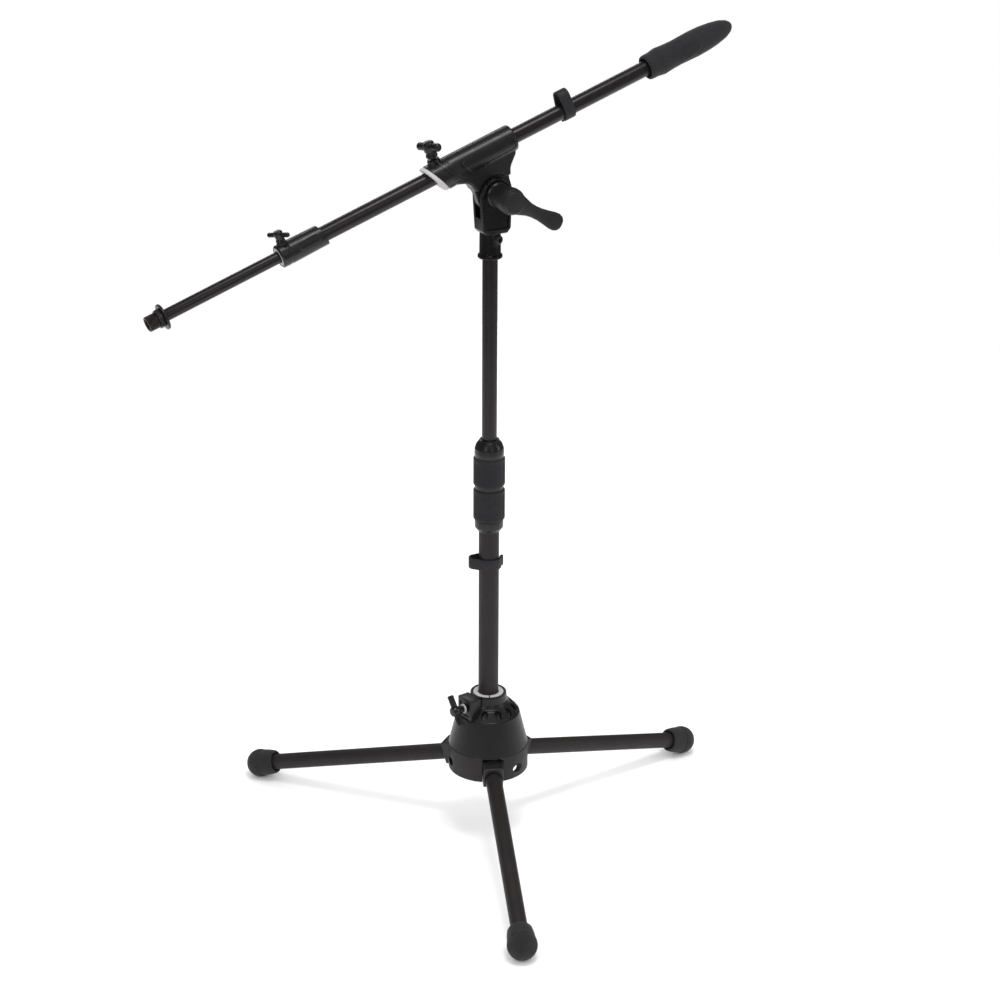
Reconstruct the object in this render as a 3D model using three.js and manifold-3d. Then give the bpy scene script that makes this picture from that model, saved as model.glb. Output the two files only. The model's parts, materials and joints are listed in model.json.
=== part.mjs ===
// Boom microphone stand: a die-cast hub on three folding legs, a two-stage column with a
// twist clutch, and a tilting telescopic boom that ends in a microphone thread.
// Units are millimetres. +Z is up, the floor is z = 0 and the boom lies in the XZ plane.
import * as THREE from 'three';
import { mergeVertices } from 'three/addons/utils/BufferGeometryUtils.js';
import Module from 'manifold-3d';

const wasm = await Module();
wasm.setup();

// ---------------------------------------------------------------- driving dimensions

const DEG = Math.PI / 180;
const FIT = 0.3; // clearance between pieces that touch
const SIDES = 20; // facets round a tube
const FINE_SIDES = 28; // facets round the hub and the feet
const SMALL_SIDES = 12; // facets round screws and pins

// Where the column stands in the frame whose origin is the middle of the footprint box.
const COLUMN_X = 40.56;
const COLUMN_Y = 20.91;

// Tubes: outside radius and wall.
const LOWER_R = 11;
const UPPER_R = 8;
const BOOM_R = 8;
const INNER_BOOM_R = 6;
const LEG_R = 9;
const WALL = 1.2;

// Legs.
const LEG_TURN = 8.4; // azimuth of the first leg, degrees
const LEG_ANGLES = [0, 1, 2].map((k) => LEG_TURN + 120 * k);
const HINGE_RADIUS = 33; // hinge pin to column axis
const HINGE_Z = 85;
const FOOT_R = 16;
const FOOT_RADIUS = 286.6; // foot centre to column axis
const FOOT_LENGTH = 37;
const ROOT_HALF = 11; // half width of the leg root block
const PIN_R = 2.5;
const LEG_DROP = Math.atan2(HINGE_Z - FOOT_R, FOOT_RADIUS - HINGE_RADIUS);
const LEG_LENGTH = Math.hypot(HINGE_Z - FOOT_R, FOOT_RADIUS - HINGE_RADIUS);

// Hub.
const SKIRT_R = 44;
const SKIRT_WALL = 4;
const SKIRT_BOTTOM = 74;
const SKIRT_TOP = 103.5;
const CONE_TOP_R = 34;
const CONE_TOP_Z = 142;
const COLLAR_R = 20;
const COLLAR_TOP = 165;
const BUSHING_R = 16.7;
const POCKET_R = 3.7; // half width of the oval pockets round the shoulder
const POCKET_STRETCH = 1.45; // their height over their width
const DRILL_R = 4.1; // the drilling in the skirt through which each hinge pin goes in
const BUSHING_BOTTOM = 133;
const HUB_CLAMP_AZIMUTH = LEG_TURN + 180; // midway between two legs
const HUB_CLAMP_Z = 153;
const HUB_CLAMP_FACE = 33; // outer face of the clamp block to the column axis

// Column heights.
const LOWER_TUBE_BOTTOM = 104;
const CLUTCH_BOTTOM = 357;
const LOWER_GRIP_BOTTOM = 371.5;
const CLUTCH_GAP = 406;
const UPPER_GRIP_BOTTOM = 410;
const DOME_BOTTOM = 442;
const DOME_TOP = 461.5;
const LOWER_TUBE_TOP = 436;
const GRIP_R = 17;
const UPPER_TUBE_BOTTOM = 326;
const LOWER_CLIP_Z = 314;
const LOWER_CLIP_AZIMUTH = 155;
const CLIP_REACH = 22; // tube axis to the far side of a cable clip's loop
const CLIP_WIDTH = 12;

// Swivel head.
const PIVOT_X = 3;
const PIVOT_Z = 730;
const FORK_HALF_W = 17;
const FORK_HALF_T = 10.6;
const FORK_SLOT_HALF = 5.5;
const FORK_BOTTOM = 688;
const FORK_SLOT_FLOOR = 705;
const SLEEVE_BOTTOM = 661.5;
const TONGUE_HALF = 4.3;
const TONGUE_R = 20.5;
const DISC_MIDDLE = 4.9; // friction disc to the middle of the fork
const SET_SCREW_AZIMUTH = -78;
const SET_SCREW_Z = FORK_BOTTOM - 5;

// Boom, measured along its own axis from the foot of the perpendicular to the pivot.
const BOOM_RISE = 19; // degrees above the horizontal
const BOOM_OFFSET = 45; // boom axis to pivot
const CLAMP_R = 14;
const CLAMP_NOSE_R = 16;
const CLAMP_CUT = 28.5; // slant of the clamp's front end, degrees
const CLAMP_CUT_X = -60;
const CLAMP_END = 38;
const CLAMP_BOLT_X = -51;
const CLAMP_BOSS_TOP = 18.5; // above the boom axis
const LINER_LIP = 5.5;
const NECK_CLEAR_R = 21; // the wide neck stays outside this radius from the pivot
const NECK_FLOOR = 13; // and above this height, so that it clears the fork at every tilt
const BOOM_FRONT = -223;
const BOOM_REAR = 300;
const SLEEVE_FRONT = -239;
const SLEEVE_REAR = -188.5;
const SLEEVE_R = 11.8;
const SLEEVE_REAR_R = 11.2;
const SLEEVE_SLANT = 14; // slant of the sleeve's rear end, degrees
const SLEEVE_BOLT_X = -231;
const INNER_FRONT = -368;
const INNER_REAR = -48;
const FLANGE_X = -371;
const BOOM_CLIP_X = 99;
const GRIP_MOUTH = 206;
const GRIP_LENGTH = 107;
const STUD_R = 4.7;
const FLANGE_R = 13.3;
const THREAD_R = 7.94;
const NUT_R = 10.4; // to the corners

// Lever on the pivot.
const LEVER_BASE = 14.3;
const LEVER_FACE = 49;
const LEVER_R = 13.8;
const LEVER_DROP = 28.6; // degrees below the horizontal
const LEVER_REACH = 63;

// ---------------------------------------------------------------- finishes

const FINISH = {
  casting: { color: 0x1c1b1d, roughness: 0.45, metalness: 0.4 },
  tube: { color: 0x2a2627, roughness: 0.4, metalness: 0.3 },
  glossTube: { color: 0x201d20, roughness: 0.28, metalness: 0.3 },
  plastic: { color: 0x1a191b, roughness: 0.5, metalness: 0 },
  rubber: { color: 0x2d2c30, roughness: 0.85, metalness: 0 },
  liner: { color: 0xb9b6b8, roughness: 0.55, metalness: 0 },
  screw: { color: 0x18171a, roughness: 0.3, metalness: 0.8 },
  steel: { color: 0x8c8c8e, roughness: 0.35, metalness: 0.9 },
};

// ---------------------------------------------------------------- solid helpers

function weld(geometry) {
  geometry.deleteAttribute('normal');
  geometry.deleteAttribute('uv');
  const welded = mergeVertices(geometry);
  const index = welded.index.array;
  const kept = [];
  for (let i = 0; i < index.length; i += 3) {
    const [a, b, c] = [index[i], index[i + 1], index[i + 2]];
    if (a !== b && b !== c && c !== a) kept.push(a, b, c);
  }
  welded.setIndex(kept);
  return welded;
}

function toSolid(geometry) {
  const welded = weld(geometry);
  const mesh = new wasm.Mesh({
    numProp: 3,
    vertProperties: new Float32Array(welded.attributes.position.array),
    triVerts: new Uint32Array(welded.index.array),
  });
  return new wasm.Manifold(mesh);
}

// One geometry from the pieces to join, less the pieces to cut away.
function carve(joined, removed = []) {
  let solid = toSolid(joined[0]);
  for (const piece of joined.slice(1)) solid = solid.add(toSolid(piece));
  for (const piece of removed) solid = solid.subtract(toSolid(piece));
  const mesh = solid.getMesh();
  const geometry = new THREE.BufferGeometry();
  geometry.setAttribute('position', new THREE.BufferAttribute(mesh.vertProperties, 3));
  geometry.setIndex(new THREE.BufferAttribute(mesh.triVerts, 1));
  return geometry;
}

// A solid turned about Z from [radius, height] points, given anticlockwise.
function turned(points, sides = SIDES) {
  const profile = points.map(([radius, height]) => new THREE.Vector2(radius, height));
  if (points[0][0] > 0) profile.push(profile[0].clone());
  return weld(new THREE.LatheGeometry(profile, sides).rotateX(Math.PI / 2));
}

function ring(inner, outer, low, high, sides = SIDES) {
  return turned([[inner, low], [outer, low], [outer, high], [inner, high]], sides);
}

function rod(radius, low, high, sides = SMALL_SIDES) {
  return turned([[0, low], [radius, low], [radius, high], [0, high]], sides);
}

function block(x0, x1, y0, y1, z0, z1) {
  const box = new THREE.BoxGeometry(x1 - x0, y1 - y0, z1 - z0);
  return box.translate((x0 + x1) / 2, (y0 + y1) / 2, (z0 + z1) / 2);
}

// A plate with its outline in the XZ plane, centred on y = 0.
function plate(shape, thickness, bevel = 0, curveSegments = 8) {
  const plain = new THREE.ExtrudeGeometry(shape, {
    depth: thickness - 2 * bevel,
    bevelEnabled: bevel > 0,
    bevelThickness: bevel,
    bevelSize: bevel,
    bevelOffset: -bevel,
    bevelSegments: 1,
    curveSegments,
  });
  return plain.rotateX(Math.PI / 2).translate(0, thickness / 2 - bevel, 0);
}

const alongX = (geometry) => geometry.rotateY(Math.PI / 2); // +Z becomes +X
const alongFront = (geometry) => geometry.rotateX(Math.PI / 2); // +Z becomes -Y

function piece(name, geometry, finish) {
  const mesh = new THREE.Mesh(geometry, new THREE.MeshStandardMaterial(FINISH[finish]));
  mesh.name = name;
  return mesh;
}

function frameAt(x, y, z, turnY = 0, turnZ = 0) {
  const frame = new THREE.Group();
  frame.position.set(x, y, z);
  frame.rotation.set(0, turnY, turnZ, 'ZYX');
  return frame;
}

// ---------------------------------------------------------------- hub

function hubOutline() {
  return turned([
    [BUSHING_R + FIT, COLLAR_TOP],
    [BUSHING_R + FIT, BUSHING_BOTTOM],
    [14.5, BUSHING_BOTTOM],
    [14.5, BUSHING_BOTTOM - 5],
    [31, BUSHING_BOTTOM - 7],
    [SKIRT_R - SKIRT_WALL, SKIRT_TOP + FIT],
    [SKIRT_R - 0.5, SKIRT_TOP + FIT],
    [CONE_TOP_R, CONE_TOP_Z],
    [22.5, 153],
    [COLLAR_R + 0.6, 156],
    [COLLAR_R, COLLAR_TOP],
  ], FINE_SIDES);
}

function aroundColumn(geometry, degrees) {
  return geometry.rotateZ(degrees * DEG);
}

// Two lugs inside the skirt that carry each hinge pin.
function hingeLugs(azimuth) {
  return [-1, 1].map((side) => {
    const near = side * (ROOT_HALF + 0.5);
    const far = side * (ROOT_HALF + 4.5);
    const [low, high] = [Math.min(near, far), Math.max(near, far)];
    const lug = block(23, SKIRT_R - 3.5, low, high, SKIRT_BOTTOM + 2, SKIRT_TOP);
    return aroundColumn(lug, azimuth);
  });
}

function legSlot(azimuth) {
  const half = ROOT_HALF + 0.7;
  return aroundColumn(block(22, 50, -half, half, SKIRT_BOTTOM - 5, SKIRT_TOP - 1.5), azimuth);
}

// The drilling that the hinge pin is driven in through, wide where it crosses the skirt.
function pinHoles(azimuth) {
  const through = alongFront(rod(PIN_R + 0.2, -38, ROOT_HALF + 5.2));
  const wide = alongFront(rod(DRILL_R, -45, -ROOT_HALF - 5));
  return [through, wide].map((hole) => {
    return aroundColumn(hole.translate(HINGE_RADIUS, 0, HINGE_Z), azimuth);
  });
}

// The blind oval pockets round the shoulder, two on each side of every leg.
function shoulderPockets() {
  const middle = (CONE_TOP_R + 22.5) / 2;
  const height = (CONE_TOP_Z + 153) / 2;
  const lean = Math.atan2(CONE_TOP_R - 22.5, 153 - CONE_TOP_Z);
  const pockets = [];
  for (const leg of LEG_ANGLES) {
    for (const step of [-45, -15, 15, 45]) {
      const fromClamp = Math.abs(((leg + step - HUB_CLAMP_AZIMUTH + 540) % 360) - 180);
      if (fromClamp < 30) continue;
      const pocket = rod(POCKET_R, -5, 6, 8).scale(1, POCKET_STRETCH, 1).rotateZ(Math.PI / 2);
      pocket.rotateY(Math.PI / 2 - lean).translate(middle, 0, height);
      pockets.push(aroundColumn(pocket, leg + step));
    }
  }
  return pockets;
}

function hub() {
  const clampBlock = aroundColumn(block(18.5, HUB_CLAMP_FACE, -12, 12, 141, 164), HUB_CLAMP_AZIMUTH);
  const clampHole = alongX(rod(3.3, 14, 40)).translate(0, 0, HUB_CLAMP_Z);
  const housing = carve(
    [hubOutline(), clampBlock],
    [...shoulderPockets(), aroundColumn(clampHole, HUB_CLAMP_AZIMUTH)],
  );
  const band = ring(SKIRT_R - SKIRT_WALL, SKIRT_R, SKIRT_BOTTOM, SKIRT_TOP, FINE_SIDES);
  const skirt = carve(
    [band, ...LEG_ANGLES.flatMap(hingeLugs)],
    [...LEG_ANGLES.map(legSlot), ...LEG_ANGLES.flatMap(pinHoles)],
  );
  const slit = aroundColumn(block(8, 20, -0.7, 0.7, BUSHING_BOTTOM - 1, COLLAR_TOP + 1), -114);
  const bushing = carve(
    [ring(LOWER_R + 0.25, BUSHING_R, BUSHING_BOTTOM + FIT, COLLAR_TOP - 0.5, FINE_SIDES)],
    [slit],
  );
  const group = new THREE.Group();
  group.add(piece('base_housing', housing, 'casting'));
  group.add(piece('base_skirt', skirt, 'casting'));
  group.add(piece('column_bushing', bushing, 'liner'));
  LEG_ANGLES.forEach((azimuth, k) => {
    const pin = alongFront(rod(PIN_R, -ROOT_HALF - 4.4, ROOT_HALF + 4.4));
    pin.translate(HINGE_RADIUS, 0, HINGE_Z);
    group.add(piece(`leg_pin_${k + 1}`, aroundColumn(pin, azimuth), 'steel'));
  });
  return group;
}

// ---------------------------------------------------------------- T-handled screws

// A screw along +Z and the T-shaped handle moulded on its outer end.
function tScrew(name, screwFrom, bar) {
  const screwTo = bar.height + bar.hub - 4;
  const group = new THREE.Group();
  group.add(piece(`${name}_screw`, rod(3, screwFrom, screwTo), 'screw'));
  const top = bar.height + bar.hub;
  const hub = turned([
    [0, bar.foot],
    [bar.hub * 0.75, bar.foot],
    [bar.hub, bar.height - 1],
    [bar.hub, bar.height + 1],
    [bar.hub * 0.7, top],
    [0, top],
  ], SMALL_SIDES);
  const half = bar.length / 2;
  const cross = alongX(turned([
    [0, -half],
    [bar.radius * 0.7, -half],
    [bar.radius, -half + 2],
    [bar.radius, half - 2],
    [bar.radius * 0.7, half],
    [0, half],
  ], SMALL_SIDES));
  cross.rotateZ(bar.turn * DEG).translate(0, 0, bar.height);
  const handle = carve([hub, cross], [rod(3 + FIT, bar.foot - 5, screwTo + FIT)]);
  group.add(piece(`${name}_handle`, handle, 'plastic'));
  return group;
}

function hubScrew() {
  const frame = frameAt(0, 0, HUB_CLAMP_Z, Math.PI / 2, HUB_CLAMP_AZIMUTH * DEG);
  frame.add(piece('base_screw_washer', ring(3.3, 5.2, HUB_CLAMP_FACE + FIT, 35), 'liner'));
  frame.add(tScrew('base', 17.8, { height: 45, foot: 37, hub: 5.2, radius: 3.8, length: 36, turn: 36 }));
  return frame;
}

// ---------------------------------------------------------------- legs

function rootOutline() {
  const shape = new THREE.Shape();
  shape.moveTo(17, -ROOT_HALF);
  shape.lineTo(17, ROOT_HALF);
  shape.lineTo(0, ROOT_HALF);
  shape.absarc(0, 0, ROOT_HALF, Math.PI / 2, (3 * Math.PI) / 2, false);
  return shape;
}

// The round end of a foot, with one ring of points where it stands on the floor.
function footDome() {
  const step = (Math.PI / 2 - LEG_DROP) / 3;
  const points = [-2, -1, 0, 1, 2].map((k) => {
    const angle = LEG_DROP + k * step;
    return [FOOT_R * Math.cos(angle), LEG_LENGTH + FOOT_R * Math.sin(angle)];
  });
  return [...points, [0, LEG_LENGTH + FOOT_R]];
}

function leg(number, azimuth) {
  const spin = frameAt(0, 0, 0, 0, azimuth * DEG);
  const hinge = frameAt(HINGE_RADIUS, 0, HINGE_Z, LEG_DROP, 0);
  spin.add(hinge);
  const root = carve(
    [plate(rootOutline(), 2 * ROOT_HALF, 1)],
    [alongX(rod(LEG_R + FIT, 4.5, 20, SIDES)), alongFront(rod(PIN_R + FIT, -15, 15))],
  );
  hinge.add(piece(`leg_root_${number}`, root, 'casting'));
  const tube = alongX(ring(LEG_R - WALL, LEG_R, 4.8, LEG_LENGTH - 5));
  hinge.add(piece(`leg_tube_${number}`, tube, 'tube'));
  const start = LEG_LENGTH + FOOT_R - FOOT_LENGTH;
  const foot = alongX(turned([
    [0, LEG_LENGTH - 4.6],
    [LEG_R + FIT, LEG_LENGTH - 4.6],
    [LEG_R + FIT, start],
    [FOOT_R - 3, start],
    [FOOT_R - 1.6, start + 2],
    ...footDome(),
  ], 24));
  hinge.add(piece(`foot_${number}`, foot, 'rubber'));
  return spin;
}

// ---------------------------------------------------------------- cable clips

// Outline round a circle at the origin and a smaller one at x = -reach.
function eggShape(big, small, reach) {
  const lean = Math.PI - Math.acos((big - small) / reach);
  const shape = new THREE.Shape();
  shape.absarc(0, 0, big, lean, -lean, true);
  shape.absarc(-reach, 0, small, -lean, lean - 2 * Math.PI, true);
  return shape;
}

// A sprung band that grips the tube and leaves a loop beside it for the cable.
function cableClip(tubeRadius) {
  const wall = 2.3;
  const inner = tubeRadius + 0.25;
  const loop = 5.6;
  const reach = CLIP_REACH - wall - loop;
  const height = CLIP_WIDTH;
  const settings = { depth: height, bevelEnabled: false, curveSegments: 9 };
  const outside = new THREE.ExtrudeGeometry(eggShape(inner + wall, loop + wall, reach), settings);
  const insideSettings = { ...settings, depth: height + 2 };
  const inside = new THREE.ExtrudeGeometry(eggShape(inner, loop, reach), insideSettings);
  inside.translate(0, 0, -1);
  const nibs = [-1, 1].map((side) => {
    const nib = new THREE.CylinderGeometry(1.6, 1.6, height, 8).rotateX(Math.PI / 2);
    return nib.translate(-inner * 0.62, side * (inner * 0.78 + 1.75), height / 2);
  });
  const gap = block(0, inner + 2 * wall, -2, 2, -1, height + 1).rotateZ(55 * DEG);
  return carve([carve([outside], [inside]), ...nibs], [gap, rod(inner, -1, height + 1, SIDES)]);
}

// ---------------------------------------------------------------- column

function column() {
  const group = new THREE.Group();
  const inside = LOWER_R - WALL;
  group.add(piece('lower_tube', ring(inside, LOWER_R, LOWER_TUBE_BOTTOM, LOWER_TUBE_TOP), 'tube'));
  const plug = turned([
    [0, LOWER_TUBE_BOTTOM - 6],
    [LOWER_R + 1, LOWER_TUBE_BOTTOM - 6],
    [LOWER_R + 2.5, LOWER_TUBE_BOTTOM - 4],
    [LOWER_R + 2.5, LOWER_TUBE_BOTTOM - FIT],
    [inside - FIT, LOWER_TUBE_BOTTOM - FIT],
    [inside - FIT, LOWER_TUBE_BOTTOM + 12],
    [0, LOWER_TUBE_BOTTOM + 12],
  ]);
  group.add(piece('lower_tube_plug', plug, 'plastic'));
  const clip = aroundColumn(cableClip(LOWER_R), LOWER_CLIP_AZIMUTH + 180);
  group.add(piece('column_cable_clip', clip.translate(0, 0, LOWER_CLIP_Z), 'plastic'));
  return group;
}

function clutch() {
  const group = new THREE.Group();
  const bodyBore = LOWER_R + 0.25;
  const body = turned([
    [bodyBore, CLUTCH_BOTTOM],
    [12.8, CLUTCH_BOTTOM],
    [13.4, CLUTCH_BOTTOM + 3],
    [15.4, CLUTCH_BOTTOM + 6],
    [15.4, LOWER_GRIP_BOTTOM - 1],
    [14, LOWER_GRIP_BOTTOM - 1],
    [14, CLUTCH_GAP - 0.5],
    [12.6, CLUTCH_GAP - 0.5],
    [12.6, LOWER_TUBE_TOP],
    [bodyBore, LOWER_TUBE_TOP],
  ]);
  group.add(piece('clutch_body', body, 'plastic'));
  const lowerGrip = turned([
    [14 + FIT, LOWER_GRIP_BOTTOM - 0.7],
    [GRIP_R - 0.8, LOWER_GRIP_BOTTOM - 0.7],
    [GRIP_R, LOWER_GRIP_BOTTOM + 1.5],
    [GRIP_R, CLUTCH_GAP - 2.5],
    [GRIP_R - 0.8, CLUTCH_GAP - 0.5],
    [14 + FIT, CLUTCH_GAP - 0.5],
  ]);
  group.add(piece('clutch_lower_grip', lowerGrip, 'rubber'));
  const nut = turned([
    [12.6 + FIT, CLUTCH_GAP],
    [15.2, CLUTCH_GAP],
    [15.2, UPPER_GRIP_BOTTOM - 0.3],
    [14.2, UPPER_GRIP_BOTTOM - 0.3],
    [14.2, DOME_BOTTOM],
    [15.7, DOME_BOTTOM + 0.2],
    [15.6, DOME_BOTTOM + 8],
    [14.4, DOME_BOTTOM + 14],
    [12.6, DOME_BOTTOM + 17],
    [10.3, DOME_TOP],
    [UPPER_R + 0.25, DOME_TOP],
    [UPPER_R + 0.25, DOME_TOP - 6],
    [11.3, DOME_TOP - 11],
    [12.6 + FIT, LOWER_TUBE_TOP + 1],
  ]);
  group.add(piece('clutch_nut', nut, 'plastic'));
  const upperGrip = turned([
    [14.2 + FIT, UPPER_GRIP_BOTTOM],
    [GRIP_R - 0.8, UPPER_GRIP_BOTTOM],
    [GRIP_R, UPPER_GRIP_BOTTOM + 2],
    [GRIP_R, DOME_BOTTOM - 2],
    [GRIP_R - 1, DOME_BOTTOM - 0.3],
    [14.2 + FIT, DOME_BOTTOM - 0.3],
  ]);
  group.add(piece('clutch_upper_grip', upperGrip, 'rubber'));
  const collet = turned([
    [UPPER_R + 0.25, LOWER_TUBE_TOP + FIT],
    [11, LOWER_TUBE_TOP + FIT],
    [11, LOWER_TUBE_TOP + 12],
    [UPPER_R + 0.6, DOME_TOP - 8],
    [UPPER_R + 0.25, DOME_TOP - 8],
  ]);
  const saw = block(4, 14, -0.6, 0.6, LOWER_TUBE_TOP - 1, DOME_TOP);
  group.add(piece('clutch_collet', carve([collet], [saw]), 'liner'));
  return group;
}

function mast() {
  const group = new THREE.Group();
  const tubeTop = FORK_BOTTOM + 6;
  group.add(piece('upper_tube', ring(UPPER_R - WALL, UPPER_R, UPPER_TUBE_BOTTOM, tubeTop), 'glossTube'));
  const guide = turned([
    [0, UPPER_TUBE_BOTTOM - 4],
    [9.5, UPPER_TUBE_BOTTOM - 4],
    [9.5, UPPER_TUBE_BOTTOM + 16],
    [UPPER_R + 0.2, UPPER_TUBE_BOTTOM + 16],
    [UPPER_R + 0.2, UPPER_TUBE_BOTTOM - FIT],
    [0, UPPER_TUBE_BOTTOM - FIT],
  ]);
  group.add(piece('upper_tube_guide', guide, 'plastic'));
  return group;
}

// ---------------------------------------------------------------- swivel head

function forkOutline() {
  const corner = 4;
  const foot = FORK_BOTTOM - PIVOT_Z;
  const shape = new THREE.Shape();
  shape.moveTo(FORK_HALF_W, 0);
  shape.absarc(0, 0, FORK_HALF_W, 0, 0.8 * Math.PI, false);
  shape.lineTo(-FORK_HALF_W - 1.5, -2);
  shape.lineTo(-FORK_HALF_W + 1, foot + corner);
  shape.lineTo(-FORK_HALF_W + 1 + corner, foot);
  shape.lineTo(FORK_HALF_W - 1 - corner, foot);
  shape.lineTo(FORK_HALF_W - 1, foot + corner);
  return shape;
}

function swivelBody() {
  const fork = plate(forkOutline(), 2 * FORK_HALF_T, 1.2, 10).translate(PIVOT_X, 0, PIVOT_Z);
  const sleeve = turned([
    [0, SLEEVE_BOTTOM],
    [12.4, SLEEVE_BOTTOM],
    [12.8, SLEEVE_BOTTOM + 1.5],
    [12.8, SLEEVE_BOTTOM + 4],
    [11, SLEEVE_BOTTOM + 5.5],
    [11, FORK_BOTTOM + 4],
    [0, FORK_BOTTOM + 4],
  ]);
  const slot = block(-30, 40, -FORK_SLOT_HALF, FORK_SLOT_HALF, FORK_SLOT_FLOOR, PIVOT_Z + 30);
  const boltHole = alongFront(rod(3 + FIT, -20, 20)).translate(PIVOT_X, 0, PIVOT_Z);
  const tubeBore = rod(UPPER_R + 0.2, SLEEVE_BOTTOM - 1, FORK_BOTTOM + 6 + FIT, SIDES);
  const screwHole = alongX(rod(2.6, 4, 20)).translate(0, 0, SET_SCREW_Z);
  aroundColumn(screwHole, SET_SCREW_AZIMUTH);
  const body = carve([fork, sleeve], [slot, boltHole, tubeBore, screwHole]);
  return piece('swivel_body', body, 'casting');
}

function setScrew() {
  const screw = turned([
    [0, UPPER_R + 0.5],
    [2.4, UPPER_R + 0.5],
    [2.4, LOWER_R + FIT],
    [4.8, LOWER_R + FIT],
    [4.8, LOWER_R + 3.6],
    [3.6, LOWER_R + 4.4],
    [0, LOWER_R + 4.4],
  ], SMALL_SIDES);
  alongX(screw).translate(0, 0, SET_SCREW_Z);
  return piece('swivel_set_screw', aroundColumn(screw, SET_SCREW_AZIMUTH), 'screw');
}

function leverOutline() {
  const shape = new THREE.Shape();
  const tipRadius = 9.5;
  const neck = 6.5;
  const tip = LEVER_REACH - tipRadius;
  shape.moveTo(0, -LEVER_R + 2);
  shape.quadraticCurveTo(18, -neck - 1.5, 30, -neck);
  shape.quadraticCurveTo(40, -neck - 1, tip, -tipRadius);
  shape.absarc(tip, 0, tipRadius, -Math.PI / 2, Math.PI / 2, false);
  shape.quadraticCurveTo(38, neck + 1, 28, neck - 1);
  shape.quadraticCurveTo(16, neck + 1, 0, LEVER_R - 2);
  return shape;
}

function lever() {
  const barrel = alongFront(turned([
    [0, LEVER_BASE],
    [9.5, LEVER_BASE],
    [9, LEVER_BASE + 9],
    [10.4, LEVER_BASE + 18],
    [LEVER_R, LEVER_FACE - 10],
    [LEVER_R, LEVER_FACE - 2.5],
    [LEVER_R - 2, LEVER_FACE],
    [0, LEVER_FACE],
  ]));
  const arm = plate(leverOutline(), 7, 1.5, 6).translate(0, 7 / 2 + 1 - LEVER_FACE, 0);
  arm.rotateY(LEVER_DROP * DEG);
  const threadHole = alongFront(rod(3 + FIT, LEVER_BASE - 2, LEVER_BASE + 21));
  return piece('pivot_lever', carve([barrel, arm], [threadHole]), 'plastic');
}

function pivot() {
  const frame = frameAt(PIVOT_X, 0, PIVOT_Z);
  const shank = alongFront(rod(3, -FORK_HALF_T - 4, LEVER_BASE + 20));
  const head = alongFront(rod(6.5, -FORK_HALF_T - 5, -FORK_HALF_T - FIT, 6));
  frame.add(piece('pivot_bolt', carve([shank, head]), 'screw'));
  const washer = alongFront(ring(3 + FIT, 13, FORK_HALF_T + FIT, LEVER_BASE - FIT));
  frame.add(piece('pivot_washer', washer, 'plastic'));
  frame.add(lever());
  return frame;
}

// ---------------------------------------------------------------- boom clamp

// Outline of the tongue and the web that carry the clamp on the pivot.
function webOutline() {
  const top = BOOM_OFFSET - 4;
  const shape = new THREE.Shape();
  shape.moveTo(TONGUE_R, 0);
  shape.quadraticCurveTo(TONGUE_R, 16, 24, 21);
  shape.lineTo(CLAMP_END - 3, 31);
  shape.lineTo(CLAMP_END - 3, top);
  shape.lineTo(-40, top);
  shape.lineTo(-40, 29);
  shape.quadraticCurveTo(-24, 28, -22, 18);
  shape.quadraticCurveTo(-TONGUE_R, 8, -TONGUE_R, 0);
  shape.absarc(0, 0, TONGUE_R, Math.PI, 2 * Math.PI, false);
  return shape;
}

// Everything in front of the slanted plane that crosses the boom axis at x.
function slantedCutter(x) {
  const cutter = block(-80, 0, -30, 30, -60, 60);
  return cutter.rotateY(-CLAMP_CUT * DEG).translate(x, 0, BOOM_OFFSET);
}

function boomRod(radius, from, to, sides = SIDES, drop = 0) {
  return alongX(rod(radius, from, to, sides)).translate(0, 0, BOOM_OFFSET - drop);
}

function boomRing(inner, outer, from, to, sides = SIDES) {
  return alongX(ring(inner, outer, from, to, sides)).translate(0, 0, BOOM_OFFSET);
}

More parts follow.
